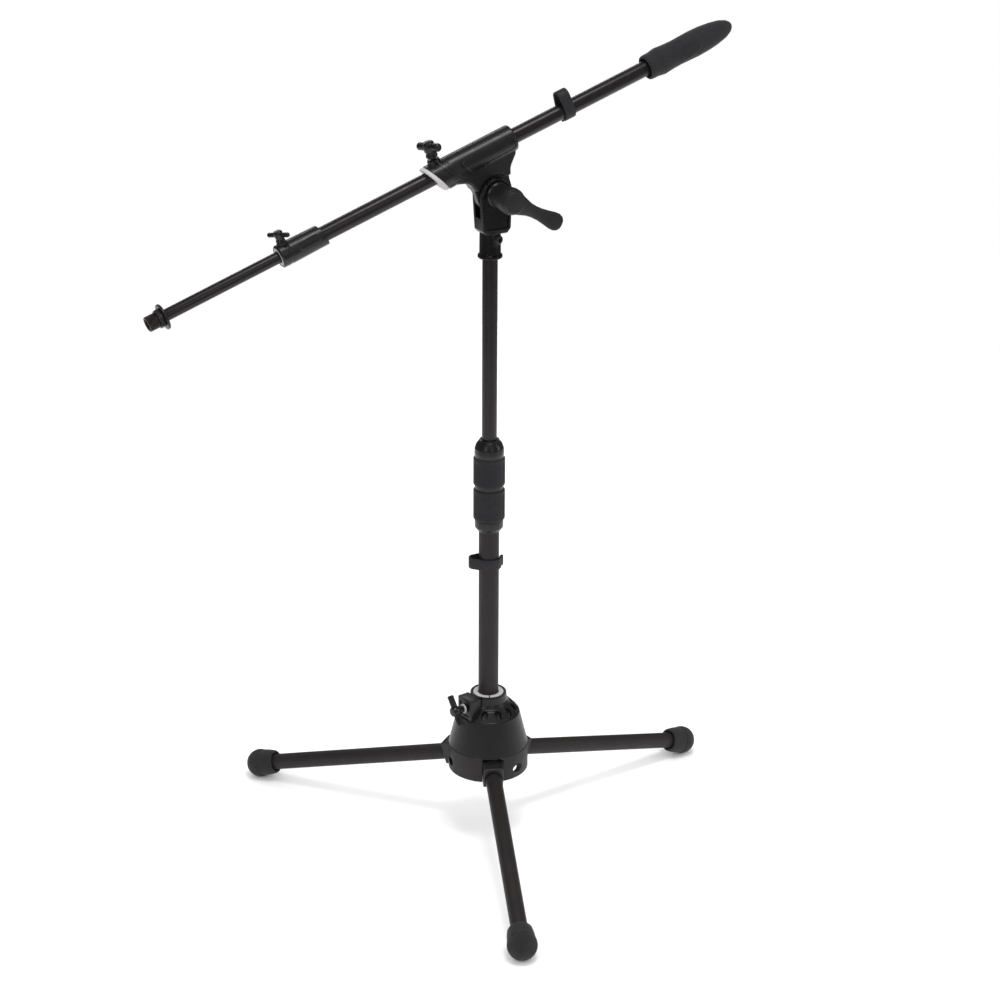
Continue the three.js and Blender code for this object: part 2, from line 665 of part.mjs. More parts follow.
function boomClamp() {
  const group = new THREE.Group();
  const neck = carve(
    [plate(webOutline(), 19, 2)],
    [block(-60, 60, -20, 20, -30, NECK_FLOOR), alongFront(rod(NECK_CLEAR_R, -20, 20, FINE_SIDES))],
  );
  const linerPlane = CLAMP_CUT_X + LINER_LIP;
  const bossTop = BOOM_OFFSET + CLAMP_BOSS_TOP;
  const boss = rod(6.5, BOOM_OFFSET + 9, bossTop, SMALL_SIDES).translate(CLAMP_BOLT_X, 0, 0);
  const bossHole = rod(3.4, BOOM_OFFSET, BOOM_OFFSET + 30).translate(CLAMP_BOLT_X, 0, 0);
  const pivotHole = alongFront(rod(3 + FIT, -15, 15));
  const casting = carve(
    [
      boomRod(CLAMP_R, -60, CLAMP_END),
      boomRod(CLAMP_NOSE_R, -84, -34, SIDES, 2),
      plate(webOutline(), 2 * TONGUE_HALF),
      neck,
      boss,
    ],
    [slantedCutter(linerPlane), boomRod(BOOM_R + 1.6, -90, 60), bossHole, pivotHole],
  );
  group.add(piece('boom_clamp', casting, 'casting'));
  const collar = carve(
    [boomRod(CLAMP_NOSE_R - 1, -84, -34, SIDES, 2)],
    [slantedCutter(CLAMP_CUT_X), block(0, 80, -30, 30, -60, 60)
      .rotateY(-CLAMP_CUT * DEG).translate(linerPlane - FIT, 0, BOOM_OFFSET)],
  );
  const liner = carve(
    [collar, boomRod(BOOM_R + 1.3, CLAMP_CUT_X - 1, CLAMP_END)],
    [slantedCutter(CLAMP_CUT_X), boomRod(BOOM_R + 0.3, -90, 60), bossHole],
  );
  group.add(piece('boom_clamp_liner', liner, 'liner'));
  for (const [name, middle] of [['front', DISC_MIDDLE], ['rear', -DISC_MIDDLE]]) {
    const disc = alongFront(ring(3 + FIT, 16, middle - 0.3, middle + 0.3));
    group.add(piece(`friction_disc_${name}`, disc, 'steel'));
  }
  const screw = frameAt(CLAMP_BOLT_X, 0, BOOM_OFFSET);
  screw.add(tScrew('clamp', BOOM_R + FIT, {
    height: 32.5, foot: 21, hub: 6.2, radius: 4.2, length: 29, turn: -69,
  }));
  group.add(screw);
  return group;
}

// ---------------------------------------------------------------- boom

function outerBoom() {
  const group = new THREE.Group();
  group.add(piece('boom_outer_tube', boomRing(BOOM_R - WALL, BOOM_R, BOOM_FRONT, BOOM_REAR), 'glossTube'));
  const clip = alongX(cableClip(BOOM_R));
  clip.translate(BOOM_CLIP_X, 0, BOOM_OFFSET);
  group.add(piece('boom_cable_clip', clip, 'plastic'));
  const tip = GRIP_LENGTH;
  const bore = BOOM_REAR - GRIP_MOUTH + FIT;
  const grip = alongX(turned([
    [0, bore],
    [BOOM_R + 0.25, bore],
    [BOOM_R + 0.25, 7],
    [10.8, 6],
    [10.8, 0],
    [12.6, 0],
    [13.3, 2],
    [13.4, 9],
    [14.7, 17.5],
    [13.8, 27],
    [13.4, 38],
    [14.1, 61],
    [13.5, 73],
    [12.2, 84],
    [9.9, 95],
    [6.6, 102.5],
    [3.4, 106],
    [0, tip],
  ]));
  grip.translate(GRIP_MOUTH, 0, BOOM_OFFSET);
  group.add(piece('boom_grip', grip, 'rubber'));
  return group;
}

function telescopeSleeve() {
  const group = new THREE.Group();
  const step = BOOM_FRONT - FIT;
  const rearEnd = SLEEVE_REAR + 3.5;
  const shell = alongX(turned([
    [INNER_BOOM_R + 0.3, SLEEVE_FRONT + 2],
    [SLEEVE_R - 1.8, SLEEVE_FRONT + 2],
    [SLEEVE_R - 1.8, SLEEVE_FRONT],
    [SLEEVE_R - 0.6, SLEEVE_FRONT],
    [SLEEVE_R, SLEEVE_FRONT + 1],
    [SLEEVE_REAR_R, rearEnd],
    [BOOM_R + 0.25, rearEnd],
    [BOOM_R + 0.25, step],
    [INNER_BOOM_R + 0.3, step],
  ])).translate(0, 0, BOOM_OFFSET);
  const seat = rod(5.4, BOOM_OFFSET + 9, BOOM_OFFSET + 13.6, 6).translate(SLEEVE_BOLT_X, 0, 0);
  const hole = rod(3 + FIT, BOOM_OFFSET, BOOM_OFFSET + 20).translate(SLEEVE_BOLT_X, 0, 0);
  const rearCut = block(0, 20, -20, 20, -20, 20).rotateY(-SLEEVE_SLANT * DEG);
  rearCut.translate(SLEEVE_REAR, 0, BOOM_OFFSET);
  const sleeve = carve([shell, seat], [hole, rearCut]);
  group.add(piece('telescope_sleeve', sleeve, 'casting'));
  const washer = boomRing(INNER_BOOM_R + 0.35, SLEEVE_R - 2.1, SLEEVE_FRONT + 0.4, SLEEVE_FRONT + 1.7);
  group.add(piece('telescope_sleeve_ring', washer, 'liner'));
  const screw = frameAt(SLEEVE_BOLT_X, 0, BOOM_OFFSET);
  screw.add(tScrew('telescope', INNER_BOOM_R + FIT, {
    height: 21.3, foot: 14.2, hub: 4.6, radius: 2.6, length: 26, turn: -59,
  }));
  group.add(screw);
  return group;
}

function innerBoom() {
  const group = new THREE.Group();
  const wall = 1;
  const tube = boomRing(INNER_BOOM_R - wall, INNER_BOOM_R, INNER_FRONT, INNER_REAR);
  group.add(piece('boom_inner_tube', tube, 'glossTube'));
  const inside = INNER_BOOM_R - wall - FIT;
  const guide = alongX(turned([
    [0, INNER_REAR - 10],
    [inside, INNER_REAR - 10],
    [inside, INNER_REAR + FIT],
    [BOOM_R - WALL - 0.25, INNER_REAR + FIT],
    [BOOM_R - WALL - 0.25, INNER_REAR + 8],
    [0, INNER_REAR + 8],
  ])).translate(0, 0, BOOM_OFFSET);
  group.add(piece('inner_tube_guide', guide, 'plastic'));
  const stud = alongX(turned([
    [0, FLANGE_X - 14],
    [STUD_R - 0.4, FLANGE_X - 14],
    [STUD_R, FLANGE_X - 13],
    [STUD_R, FLANGE_X],
    [FLANGE_R, FLANGE_X],
    [FLANGE_R, FLANGE_X + 2.7],
    [inside, FLANGE_X + 2.7],
    [inside, FLANGE_X + 16],
    [0, FLANGE_X + 16],
  ])).translate(0, 0, BOOM_OFFSET);
  group.add(piece('mic_end_stud', stud, 'casting'));
  const nutFront = FLANGE_X - 5.2;
  const nut = carve(
    [boomRod(NUT_R, nutFront, FLANGE_X - FIT, 6)],
    [boomRod(STUD_R + FIT, nutFront - 2, FLANGE_X + 2, SMALL_SIDES)],
  );
  group.add(piece('mic_lock_nut', nut, 'screw'));
  const adapterFront = FLANGE_X - 16.5;
  const adapter = boomRing(STUD_R + FIT, THREAD_R, adapterFront, nutFront - FIT);
  group.add(piece('mic_thread_adapter', adapter, 'screw'));
  return group;
}

// ---------------------------------------------------------------- assembly

function microphoneStand() {
  const stand = new THREE.Group();
  const centre = frameAt(COLUMN_X, COLUMN_Y, 0);
  stand.add(centre);
  centre.add(hub(), hubScrew());
  LEG_ANGLES.forEach((azimuth, k) => centre.add(leg(k + 1, azimuth)));
  centre.add(column(), clutch(), mast());
  centre.add(swivelBody(), setScrew(), pivot());
  const boomFrame = frameAt(PIVOT_X, 0, PIVOT_Z, -BOOM_RISE * DEG);
  boomFrame.add(boomClamp(), outerBoom(), telescopeSleeve(), innerBoom());
  centre.add(boomFrame);
  return stand;
}

export default microphoneStand();
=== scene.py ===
import json
import math

import bmesh
import bpy
from mathutils import Matrix, Vector


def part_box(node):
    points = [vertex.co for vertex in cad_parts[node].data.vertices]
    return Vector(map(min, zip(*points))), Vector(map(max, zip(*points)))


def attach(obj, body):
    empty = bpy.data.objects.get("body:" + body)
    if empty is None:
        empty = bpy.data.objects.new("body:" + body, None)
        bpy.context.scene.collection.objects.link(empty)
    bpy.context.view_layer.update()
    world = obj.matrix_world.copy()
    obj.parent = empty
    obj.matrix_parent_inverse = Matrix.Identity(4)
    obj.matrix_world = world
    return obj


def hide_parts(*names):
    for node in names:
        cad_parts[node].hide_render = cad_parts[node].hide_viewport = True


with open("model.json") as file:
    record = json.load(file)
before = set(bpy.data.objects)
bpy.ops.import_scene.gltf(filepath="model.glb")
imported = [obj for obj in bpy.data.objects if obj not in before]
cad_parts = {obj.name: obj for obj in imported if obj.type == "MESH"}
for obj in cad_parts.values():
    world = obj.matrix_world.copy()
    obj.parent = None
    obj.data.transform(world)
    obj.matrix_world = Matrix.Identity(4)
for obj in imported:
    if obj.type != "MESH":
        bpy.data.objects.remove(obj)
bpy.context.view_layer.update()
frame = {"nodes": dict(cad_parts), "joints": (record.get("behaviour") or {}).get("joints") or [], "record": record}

# Shapes are made in millimetres in local frames, and a frame's matrix takes them to metres.
MM = 0.001
TURN = 2 * math.pi
RECORD = frame["record"]
BODY_OF = {node: body for body, nodes in RECORD["behaviour"]["bodies"].items() for node in nodes}
SLOT_OF = {part["node"]: part["material_slot"] for part in RECORD["subparts"]}
JOINT = {joint["name"]: joint for joint in frame["joints"]}


# ---------------------------------------------------------------- local frames

def middle(node):
    low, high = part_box(node)
    return (low + high) / 2


def local_frame(origin, along, down):
    """Millimetres to metres: +Z runs along `along`, +X along `down`, which is square to it."""
    z = Vector(along).normalized()
    x = (Vector(down) - z * z.dot(Vector(down))).normalized()
    y = z.cross(x)
    turn = Matrix((x, y, z)).transposed().to_4x4()
    return Matrix.Translation(origin) @ turn @ Matrix.Scale(MM, 4)


def span(node, place):
    """Lowest and highest corners of a CAD node in a local frame, in millimetres."""
    inverse = place.inverted()
    points = [inverse @ v.co for v in frame["nodes"][node].data.vertices]
    low = Vector([min(p[i] for p in points) for i in range(3)])
    high = Vector([max(p[i] for p in points) for i in range(3)])
    return low, high


UP = Vector((0, 0, 1))
COLUMN_AXIS = middle("lower_tube")
COLUMN = Matrix.Translation((COLUMN_AXIS.x, COLUMN_AXIS.y, 0)) @ Matrix.Scale(MM, 4)

PIVOT_POINT = Vector(JOINT["boom_tilt"]["pos_m"])
TO_GRIP = -Vector(JOINT["boom_slide"]["axis"]).normalized()
SIDEWAYS = Vector((0, 1, 0))
BOOM_NORMAL = TO_GRIP.cross(SIDEWAYS)
ALONG = middle("boom_outer_tube") - PIVOT_POINT
BOOM_FOOT = PIVOT_POINT + ALONG - TO_GRIP * ALONG.dot(TO_GRIP)
BOOM_LINE = local_frame(BOOM_FOOT, TO_GRIP, -BOOM_NORMAL)
PIVOT = local_frame(PIVOT_POINT, -SIDEWAYS, (1, 0, 0))
SWIVEL = local_frame(PIVOT_POINT, UP, (1, 0, 0))
CLAMP = local_frame(PIVOT_POINT, BOOM_NORMAL, TO_GRIP)


def leg_frame(number):
    """Along leg `number` from its hinge pin, with +X pointing to the floor."""
    pin = Vector(JOINT[f"leg_{number}_fold"]["pos_m"])
    outward = middle(f"leg_tube_{number}") - pin
    return local_frame(pin, outward, -UP)


# ---------------------------------------------------------------- camera, light and floor

CAMERA_FROM_COLUMN = Vector((-1.2396, -2.2593, 1.436))
CAMERA_TURN = math.radians(-29.13)
CAMERA_PITCH = math.radians(22.06)
CAMERA_ROLL = math.radians(0.37)


def aim_camera():
    data = bpy.data.cameras.new("camera")
    data.lens = 93.6
    data.sensor_width = 36
    data.shift_x = -0.005
    data.clip_start = 0.1
    data.clip_end = 30
    camera = bpy.data.objects.new("camera", data)
    turn = Matrix.Rotation(CAMERA_TURN, 4, "Z")
    tilt = Matrix.Rotation(math.pi / 2 - CAMERA_PITCH, 4, "X")
    roll = Matrix.Rotation(CAMERA_ROLL, 4, "Z")
    column_foot = Vector((COLUMN_AXIS.x, COLUMN_AXIS.y, 0))
    camera.matrix_world = Matrix.Translation(column_foot + CAMERA_FROM_COLUMN) @ turn @ tilt @ roll
    bpy.context.scene.collection.objects.link(camera)
    bpy.context.scene.camera = camera


def softbox(name, place, target, size, power, tint=(1, 1, 1)):
    data = bpy.data.lights.new(name, "AREA")
    data.shape = "RECTANGLE"
    data.size, data.size_y = size
    data.energy = power
    data.color = tint
    light = bpy.data.objects.new(name, data)
    light.location = place
    light.rotation_euler = (Vector(target) - Vector(place)).to_track_quat("-Z", "Y").to_euler()
    bpy.context.scene.collection.objects.link(light)


def studio():
    world = bpy.data.worlds.new("studio")
    world.use_nodes = True
    tree = world.node_tree
    background = tree.nodes["Background"]
    background.inputs["Color"].default_value = (1, 1, 1, 1)
    rays = tree.nodes.new("ShaderNodeLightPath")
    strength = tree.nodes.new("ShaderNodeMapRange")
    strength.inputs["To Min"].default_value = 1.0
    strength.inputs["To Max"].default_value = 0.17
    tree.links.new(rays.outputs["Is Glossy Ray"], strength.inputs["Value"])
    tree.links.new(strength.outputs["Result"], background.inputs["Strength"])
    bpy.context.scene.world = world
    centre = (0, 0, 0.45)
    softbox("top_light", (0.0, -0.6, 3.4), centre, (1.0, 0.6), 32)
    softbox("key_light", (-2.4, -1.5, 2.2), centre, (0.3, 1.8), 14)
    softbox("front_light", (-0.2, -2.9, 2.0), centre, (0.3, 1.4), 6)
    softbox("fill_light", (2.4, -1.7, 1.5), centre, (0.3, 1.8), 12)
    softbox("back_light", (0.6, 2.6, 2.0), centre, (1.6, 0.5), 10)
    bpy.context.scene.view_settings.view_transform = "Standard"


def floor():
    size = 3.2
    mesh = bpy.data.meshes.new("studio_floor")
    half = size / 2
    corners = [(-half, -half, 0), (half, -half, 0), (half, half, 0), (-half, half, 0)]
    mesh.from_pydata(corners, [], [(0, 1, 2, 3)])
    ground = bpy.data.objects.new("studio_floor", mesh)
    bpy.context.scene.collection.objects.link(ground)
    pale = bpy.data.materials.new("pale_floor")
    pale.use_nodes = True
    shader = pale.node_tree.nodes["Principled BSDF"]
    shader.inputs["Base Color"].default_value = (0.95, 0.95, 0.95, 1)
    shader.inputs["Roughness"].default_value = 0.9
    mesh.materials.append(pale)


# ---------------------------------------------------------------- materials

def surface(name, colour, roughness, grain, bump, metallic=0.0, mottle=0.2, gloss_spread=0.06,
            edge_wear_and_highlight=None, coat=0.0, sheen=0.0, pits=0.0, specular=0.26):
    """One finish. grain is the size of its fine texture in mm, bump its height in mm."""
    material = bpy.data.materials.new(name)
    material.use_nodes = True
    tree = material.node_tree
    shader = tree.nodes["Principled BSDF"]

    def node(kind, **inputs):
        made = tree.nodes.new(kind)
        for key, value in inputs.items():
            made.inputs[key.replace("_", " ")].default_value = value
        return made

    def wire(source, output, target, name_in):
        tree.links.new(source.outputs[output], target.inputs[name_in])

    place = node("ShaderNodeTexCoord")
    broad = node("ShaderNodeTexNoise", Scale=28.0, Detail=4.0, Roughness=0.55)
    fine = node("ShaderNodeTexNoise", Scale=1 / (grain * MM), Detail=3.0, Roughness=0.6)
    handled = node("ShaderNodeTexNoise", Scale=150.0, Detail=6.0, Roughness=0.65)
    for texture in (broad, fine, handled):
        wire(place, "Object", texture, "Vector")

    dark = [c * (1 - mottle) for c in colour]
    light = [min(1.0, c * (1 + mottle)) for c in colour]
    tone = node("ShaderNodeValToRGB")
    tone.color_ramp.elements[0].position = 0.32
    tone.color_ramp.elements[1].position = 0.68
    tone.color_ramp.elements[0].color = (*dark, 1)
    tone.color_ramp.elements[1].color = (*light, 1)
    wire(broad, "Fac", tone, "Fac")

    speck = node("ShaderNodeMix")
    speck.data_type = "RGBA"
    speck.blend_type = "MULTIPLY"
    speck.inputs[0].default_value = 0.5
    grit = node("ShaderNodeValToRGB")
    grit.color_ramp.elements[0].position = 0.3
    grit.color_ramp.elements[1].position = 0.7
    grit.color_ramp.elements[0].color = (0.72, 0.72, 0.72, 1)
    grit.color_ramp.elements[1].color = (1.25, 1.25, 1.25, 1)
    wire(fine, "Fac", grit, "Fac")
    tree.links.new(tone.outputs["Color"], speck.inputs[6])
    tree.links.new(grit.outputs["Color"], speck.inputs[7])
    colour_out = speck.outputs[2]

    rough = node("ShaderNodeMapRange")
    rough.inputs["From Min"].default_value = 0.3
    rough.inputs["From Max"].default_value = 0.7
    rough.inputs["To Min"].default_value = max(0.04, roughness - gloss_spread)
    rough.inputs["To Max"].default_value = min(1.0, roughness + gloss_spread)
    wire(handled, "Fac", rough, "Value")
    rough_out = rough.outputs["Result"]

    # Sharp edges found by Pointiness are lightened here: partly edge wear, partly a painted highlight along the
    # rims.
    if edge_wear_and_highlight:
        worn_and_highlight_colour, amount = edge_wear_and_highlight
        shape = node("ShaderNodeNewGeometry")
        edge = node("ShaderNodeMapRange")
        edge.inputs["From Min"].default_value = 0.53
        edge.inputs["From Max"].default_value = 0.62
        wire(shape, "Pointiness", edge, "Value")
        patchy = node("ShaderNodeMath")
        patchy.operation = "MULTIPLY"
        wire(edge, "Result", patchy, 0)
        wire(handled, "Fac", patchy, 1)
        some = node("ShaderNodeMath")
        some.operation = "MULTIPLY"
        some.use_clamp = True
        some.inputs[1].default_value = amount
        wire(patchy, "Value", some, 0)
        wear_and_highlight_mix = node("ShaderNodeMix")
        wear_and_highlight_mix.data_type = "RGBA"
        wire(some, "Value", wear_and_highlight_mix, 0)
        tree.links.new(colour_out, wear_and_highlight_mix.inputs[6])
        wear_and_highlight_mix.inputs[7].default_value = (*worn_and_highlight_colour, 1)
        colour_out = wear_and_highlight_mix.outputs[2]

    height = node("ShaderNodeBump", Distance=bump * MM, Strength=1.0)
    wire(fine, "Fac", height, "Height")
    last = height
    if pits:
        orange = node("ShaderNodeTexNoise", Scale=420.0, Detail=2.0, Roughness=0.5)
        wire(place, "Object", orange, "Vector")
        peel = node("ShaderNodeBump", Distance=pits * MM, Strength=1.0)
        wire(orange, "Fac", peel, "Height")
        wire(height, "Normal", peel, "Normal")
        last = peel
    wire(last, "Normal", shader, "Normal")
    tree.links.new(colour_out, shader.inputs["Base Color"])
    tree.links.new(rough_out, shader.inputs["Roughness"])
    shader.inputs["Metallic"].default_value = metallic
    shader.inputs["Specular IOR Level"].default_value = specular
    shader.inputs["Coat Weight"].default_value = coat
    shader.inputs["Coat Roughness"].default_value = 0.25
    shader.inputs["Sheen Weight"].default_value = sheen
    return material


# Edge colours for the Pointiness mask: partly worn paint, partly a painted highlight along sharp rims.
WORN_METAL_AND_HIGHLIGHT = (0.07, 0.068, 0.066)
PALE_WEAR_AND_HIGHLIGHT = (0.05, 0.049, 0.049)
FINISH = {
    "housing": surface("satin_black_casting", (0.0065, 0.0058, 0.007), 0.36, 0.5, 0.012,
                       pits=0.02, edge_wear_and_highlight=(WORN_METAL_AND_HIGHLIGHT, 0.5), specular=0.34),
    # A lighter copy of the casting finish for the skirt: painted light standing for the light its upright side
    # catches.
    "skirt": surface("satin_black_skirt", (0.014, 0.0122, 0.012), 0.5, 0.5, 0.012,
                     pits=0.02, edge_wear_and_highlight=(WORN_METAL_AND_HIGHLIGHT, 0.5)),
    "leg_roots": surface("black_leg_casting", (0.0095, 0.0088, 0.0092), 0.42, 0.5, 0.012,
                         pits=0.02, edge_wear_and_highlight=(WORN_METAL_AND_HIGHLIGHT, 0.5), specular=0.4),
    # A darker copy of the casting finish, painted dark for the shade in the fork's recess; its strong pale edge
    # colour is a painted highlight on the bevelled rims.
    "fork": surface("black_fork_casting", (0.0026, 0.0022, 0.0026), 0.26, 0.6, 0.008,
                    pits=0.02, edge_wear_and_highlight=((0.12, 0.115, 0.115), 1.2)),
    "boom_casting": surface("black_boom_casting", (0.0062, 0.0054, 0.0060), 0.4, 0.6, 0.010,
                            pits=0.03, edge_wear_and_highlight=(WORN_METAL_AND_HIGHLIGHT, 0.5), coat=0.15, specular=0.34),
    "lower_tubes": surface("powder_coat_tube", (0.0165, 0.0132, 0.0136), 0.52, 0.35, 0.02, mottle=0.12),
    "gloss_tubes": surface("semi_gloss_tube", (0.0085, 0.006, 0.0066), 0.34, 0.45, 0.008,
                           mottle=0.12, pits=0.01, specular=0.34),
    "black_plastic": surface("satin_black_plastic", (0.005, 0.0048, 0.0056), 0.3, 0.7, 0.010,
                             edge_wear_and_highlight=(PALE_WEAR_AND_HIGHLIGHT, 0.4), specular=0.4),
    "lever_plastic": surface("moulded_lever", (0.012, 0.0112, 0.0124), 0.48, 0.45, 0.02, mottle=0.1),
    "clip_plastic": surface("charcoal_clip", (0.014, 0.0136, 0.016), 0.58, 0.4, 0.02, mottle=0.12),
    "grip_rubber": surface("charcoal_rubber", (0.0115, 0.011, 0.0132), 0.72, 0.4, 0.03,
                           mottle=0.18, sheen=0.08),
    "foot_rubber": surface("foot_rubber", (0.015, 0.0146, 0.0156), 0.74, 0.5, 0.035,
                           mottle=0.22, sheen=0.08),
    "grey_liner": surface("light_grey_nylon", (0.44, 0.425, 0.435), 0.5, 0.6, 0.012, mottle=0.08),
    "black_steel": surface("black_oxide_steel", (0.02, 0.0165, 0.0155), 0.42, 0.5, 0.010,
                           metallic=0.25, edge_wear_and_highlight=((0.12, 0.11, 0.105), 0.7)),
    "bright_steel": surface("bright_steel", (0.50, 0.50, 0.51), 0.3, 0.3, 0.010,
                            metallic=1.0, mottle=0.1),
}


# ---------------------------------------------------------------- mesh helpers

def new_object(name, mesh):
    made = bpy.data.objects.new(name, mesh)
    bpy.context.scene.collection.objects.link(made)
    return made


def from_bmesh(name, bm):
    bmesh.ops.recalc_face_normals(bm, faces=bm.faces)
    mesh = bpy.data.meshes.new(name)
    bm.to_mesh(mesh)
    bm.free()
    return new_object(name, mesh)


def eased(points, closed=False, steps=4):
    """Points with their corners rounded: a third number on a point is the corner's radius."""
    out = []
    count = len(points)
    for i, point in enumerate(points):
        here = Vector(point[:2])
        ends = not closed and i in (0, count - 1)
        if len(point) < 3 or point[2] <= 0 or ends:
            out.append(tuple(here))
            continue
        before = Vector(points[i - 1][:2]) - here
        after = Vector(points[(i + 1) % count][:2]) - here
        angle = before.angle(after)
        reach = point[2] / math.tan(angle / 2)
        reach = min(reach, before.length * 0.49, after.length * 0.49)
        radius = reach * math.tan(angle / 2)
        start = here + before.normalized() * reach
        end = here + after.normalized() * reach
        centre = here + (before.normalized() + after.normalized()).normalized() * (
            math.hypot(radius, reach))
        for k in range(steps + 1):
            t = k / steps
            spoke = (start - centre).lerp(end - centre, t)
            out.append(tuple(centre + spoke.normalized() * radius))
    return out


def dense(points, step):
    """The same line with no stretch longer than step."""
    out = [points[0]]
    for a, b in zip(points, points[1:]):
        pieces = max(1, math.ceil(math.dist(a, b) / step))
        for k in range(1, pieces + 1):
            out.append(tuple(a[i] + (b[i] - a[i]) * k / pieces for i in range(2)))
    return out


def spun(name, points, sides=96, relief=None):
    """A solid turned about Z from (radius, height) points. relief(angle, r, z) gives the radius."""
    bm = bmesh.new()
    closed = points[0][0] > 1e-6
    rings = []
    for r, z in points:
        if r < 1e-6:
            rings.append([bm.verts.new((0, 0, z))])
            continue
        ring = []
        for k in range(sides):
            angle = TURN * k / sides
            radius = relief(angle, r, z) if relief else r
            ring.append(bm.verts.new((radius * math.cos(angle), radius * math.sin(angle), z)))
        rings.append(ring)
    pairs = list(zip(rings, rings[1:] + rings[:1])) if closed else list(zip(rings, rings[1:]))
    for low, high in pairs:
        for k in range(sides):
            n = (k + 1) % sides
            corners = [low[k % len(low)], low[n % len(low)], high[n % len(high)], high[k % len(high)]]
            unique = list(dict.fromkeys(corners))
            if len(unique) > 2:
                bm.faces.new(unique)
    return from_bmesh(name, bm)


def rod(name, radius, low, high, sides):
    """A plain round bar about Z, mostly used to drill with."""
    return spun(name, [(0, low), (radius, low), (radius, high), (0, high)], sides)


def hexagon(name, corner, low, high, bevel=0.0):
    """A six-sided prism about Z with one corner on +X."""
    turns = [math.radians(60 * k) for k in range(6)]
    outline = [(corner * math.cos(turn), corner * math.sin(turn)) for turn in turns]
    return slab(name, outline, low, high, bevel)


def slab(name, outline, low, high, bevel=0.0, steps=3):
    """An outline in XY raised from low to high, with its rims rounded."""
    bm = bmesh.new()
    corners = [bm.verts.new((x, y, low)) for x, y in outline]
    base = bm.faces.new(corners)
    raised = bmesh.ops.extrude_face_region(bm, geom=[base])
    moved = [v for v in raised["geom"] if isinstance(v, bmesh.types.BMVert)]
    bmesh.ops.translate(bm, verts=moved, vec=(0, 0, high - low))
    if bevel:
        rims = [e for e in bm.edges if abs(e.verts[0].co.z - e.verts[1].co.z) < 1e-6]
        bmesh.ops.bevel(bm, geom=rims, offset=bevel, segments=steps, affect="EDGES", profile=0.5)
    return from_bmesh(name, bm)


def brick(name, low, high, bevel=0.0):
    outline = [(low[0], low[1]), (high[0], low[1]), (high[0], high[1]), (low[0], high[1])]
    made = slab(name, outline, low[2], high[2])
    if bevel:
        rounding(made, bevel)
    return made


def lofted(name, rings):
    """A closed skin over rings that all have the same number of points."""
    bm = bmesh.new()
    made = [[bm.verts.new(p) for p in ring] for ring in rings]
    count = len(made[0])
    for low, high in zip(made, made[1:]):
        for k in range(count):
            n = (k + 1) % count
            bm.faces.new((low[k], low[n], high[n], high[k]))
    bm.faces.new(list(reversed(made[0])))
    bm.faces.new(made[-1])
    return from_bmesh(name, bm)


def arc(x, y, radius, start, end, steps):
    """Points on an arc, with its angles in degrees."""
    angles = [math.radians(start + (end - start) * k / steps) for k in range(steps + 1)]
    return [(x + radius * math.cos(a), y + radius * math.sin(a)) for a in angles]


def apply_modifiers(made):
    graph = bpy.context.evaluated_depsgraph_get()
    mesh = bpy.data.meshes.new_from_object(made.evaluated_get(graph))
    made.modifiers.clear()
    old = made.data
    made.data = mesh
    bpy.data.meshes.remove(old)
    return made


def rounding(made, width, steps=3, angle=32):
    bevel = made.modifiers.new("bevel", "BEVEL")
    bevel.width = width
    bevel.segments = steps
    bevel.limit_method = "ANGLE"
    bevel.angle_limit = math.radians(angle)
    return apply_modifiers(made)


def boolean(made, tools, operation):
    for tool in tools:
        step = made.modifiers.new(operation, "BOOLEAN")
        step.operation = operation
        step.solver = "EXACT"
        step.object = tool
        apply_modifiers(made)
        bpy.data.objects.remove(tool)
    return made


def join(made, *tools):
    return boolean(made, tools, "UNION")


def heap(made, *others):
    """Puts closed shapes into one mesh as they are, ready to be cast into one skin."""
    bm = bmesh.new()
    bm.from_mesh(made.data)
    for other in others:
        bm.from_mesh(other.data)
        bpy.data.objects.remove(other)
    bm.to_mesh(made.data)
    bm.free()
    return made


def cut(made, *tools):
    return boolean(made, tools, "DIFFERENCE")


def common(made, *tools):
    return boolean(made, tools, "INTERSECT")


def cast(made, voxel, relax):
    """Melts joined shapes into one skin with small fillets, like a casting."""
    melt = made.modifiers.new("melt", "REMESH")
    melt.mode = "VOXEL"
    melt.voxel_size = voxel
    calm = made.modifiers.new("calm", "SMOOTH")
    calm.factor = 0.5
    calm.iterations = relax
    return apply_modifiers(made)


def turned_to(made, place):
    made.data.transform(place)
    return made


def dress(made, node, sharp=40, finish=None):
    """Puts a finished mesh in place of a CAD node, on its body and in its material."""
    made.data.materials.clear()
    made.data.materials.append(FINISH[finish or SLOT_OF[node]])
    made.data.shade_smooth()
    made.data.set_sharp_from_angle(angle=math.radians(sharp))
    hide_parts(node)
    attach(made, BODY_OF[node])
    return made


def place_piece(made, node, place, sharp=40, finish=None):
    made.name = f"{node}_fine"
    made.data.name = made.name
    turned_to(made, place)
    return dress(made, node, sharp, finish)


def smoothstep(value, low, high):
    t = min(1.0, max(0.0, (value - low) / (high - low)))
    return t * t * (3 - 2 * t)


# ---------------------------------------------------------------- tubes

def tube(node, place, wall, sides=72):
    """A drawn tube with its cut ends eased."""
    low, high = span(node, place)
    radius = (high.y - low.y) / 2
    ease = 0.3
    made = spun(node, eased([
        (radius - wall, low.z),
        (radius, low.z, ease),
        (radius, high.z, ease),
        (radius - wall, high.z),
    ], closed=True), sides)
    place_piece(made, node, place)


def tubes():
    wall = 1.2
    for number in (1, 2, 3):
        tube(f"leg_tube_{number}", leg_frame(number), wall)
    tube("lower_tube", COLUMN, wall)
    tube("upper_tube", COLUMN, wall)
    tube("boom_outer_tube", BOOM_LINE, wall)
    tube("boom_inner_tube", BOOM_LINE, 1.0)


# ---------------------------------------------------------------- hub

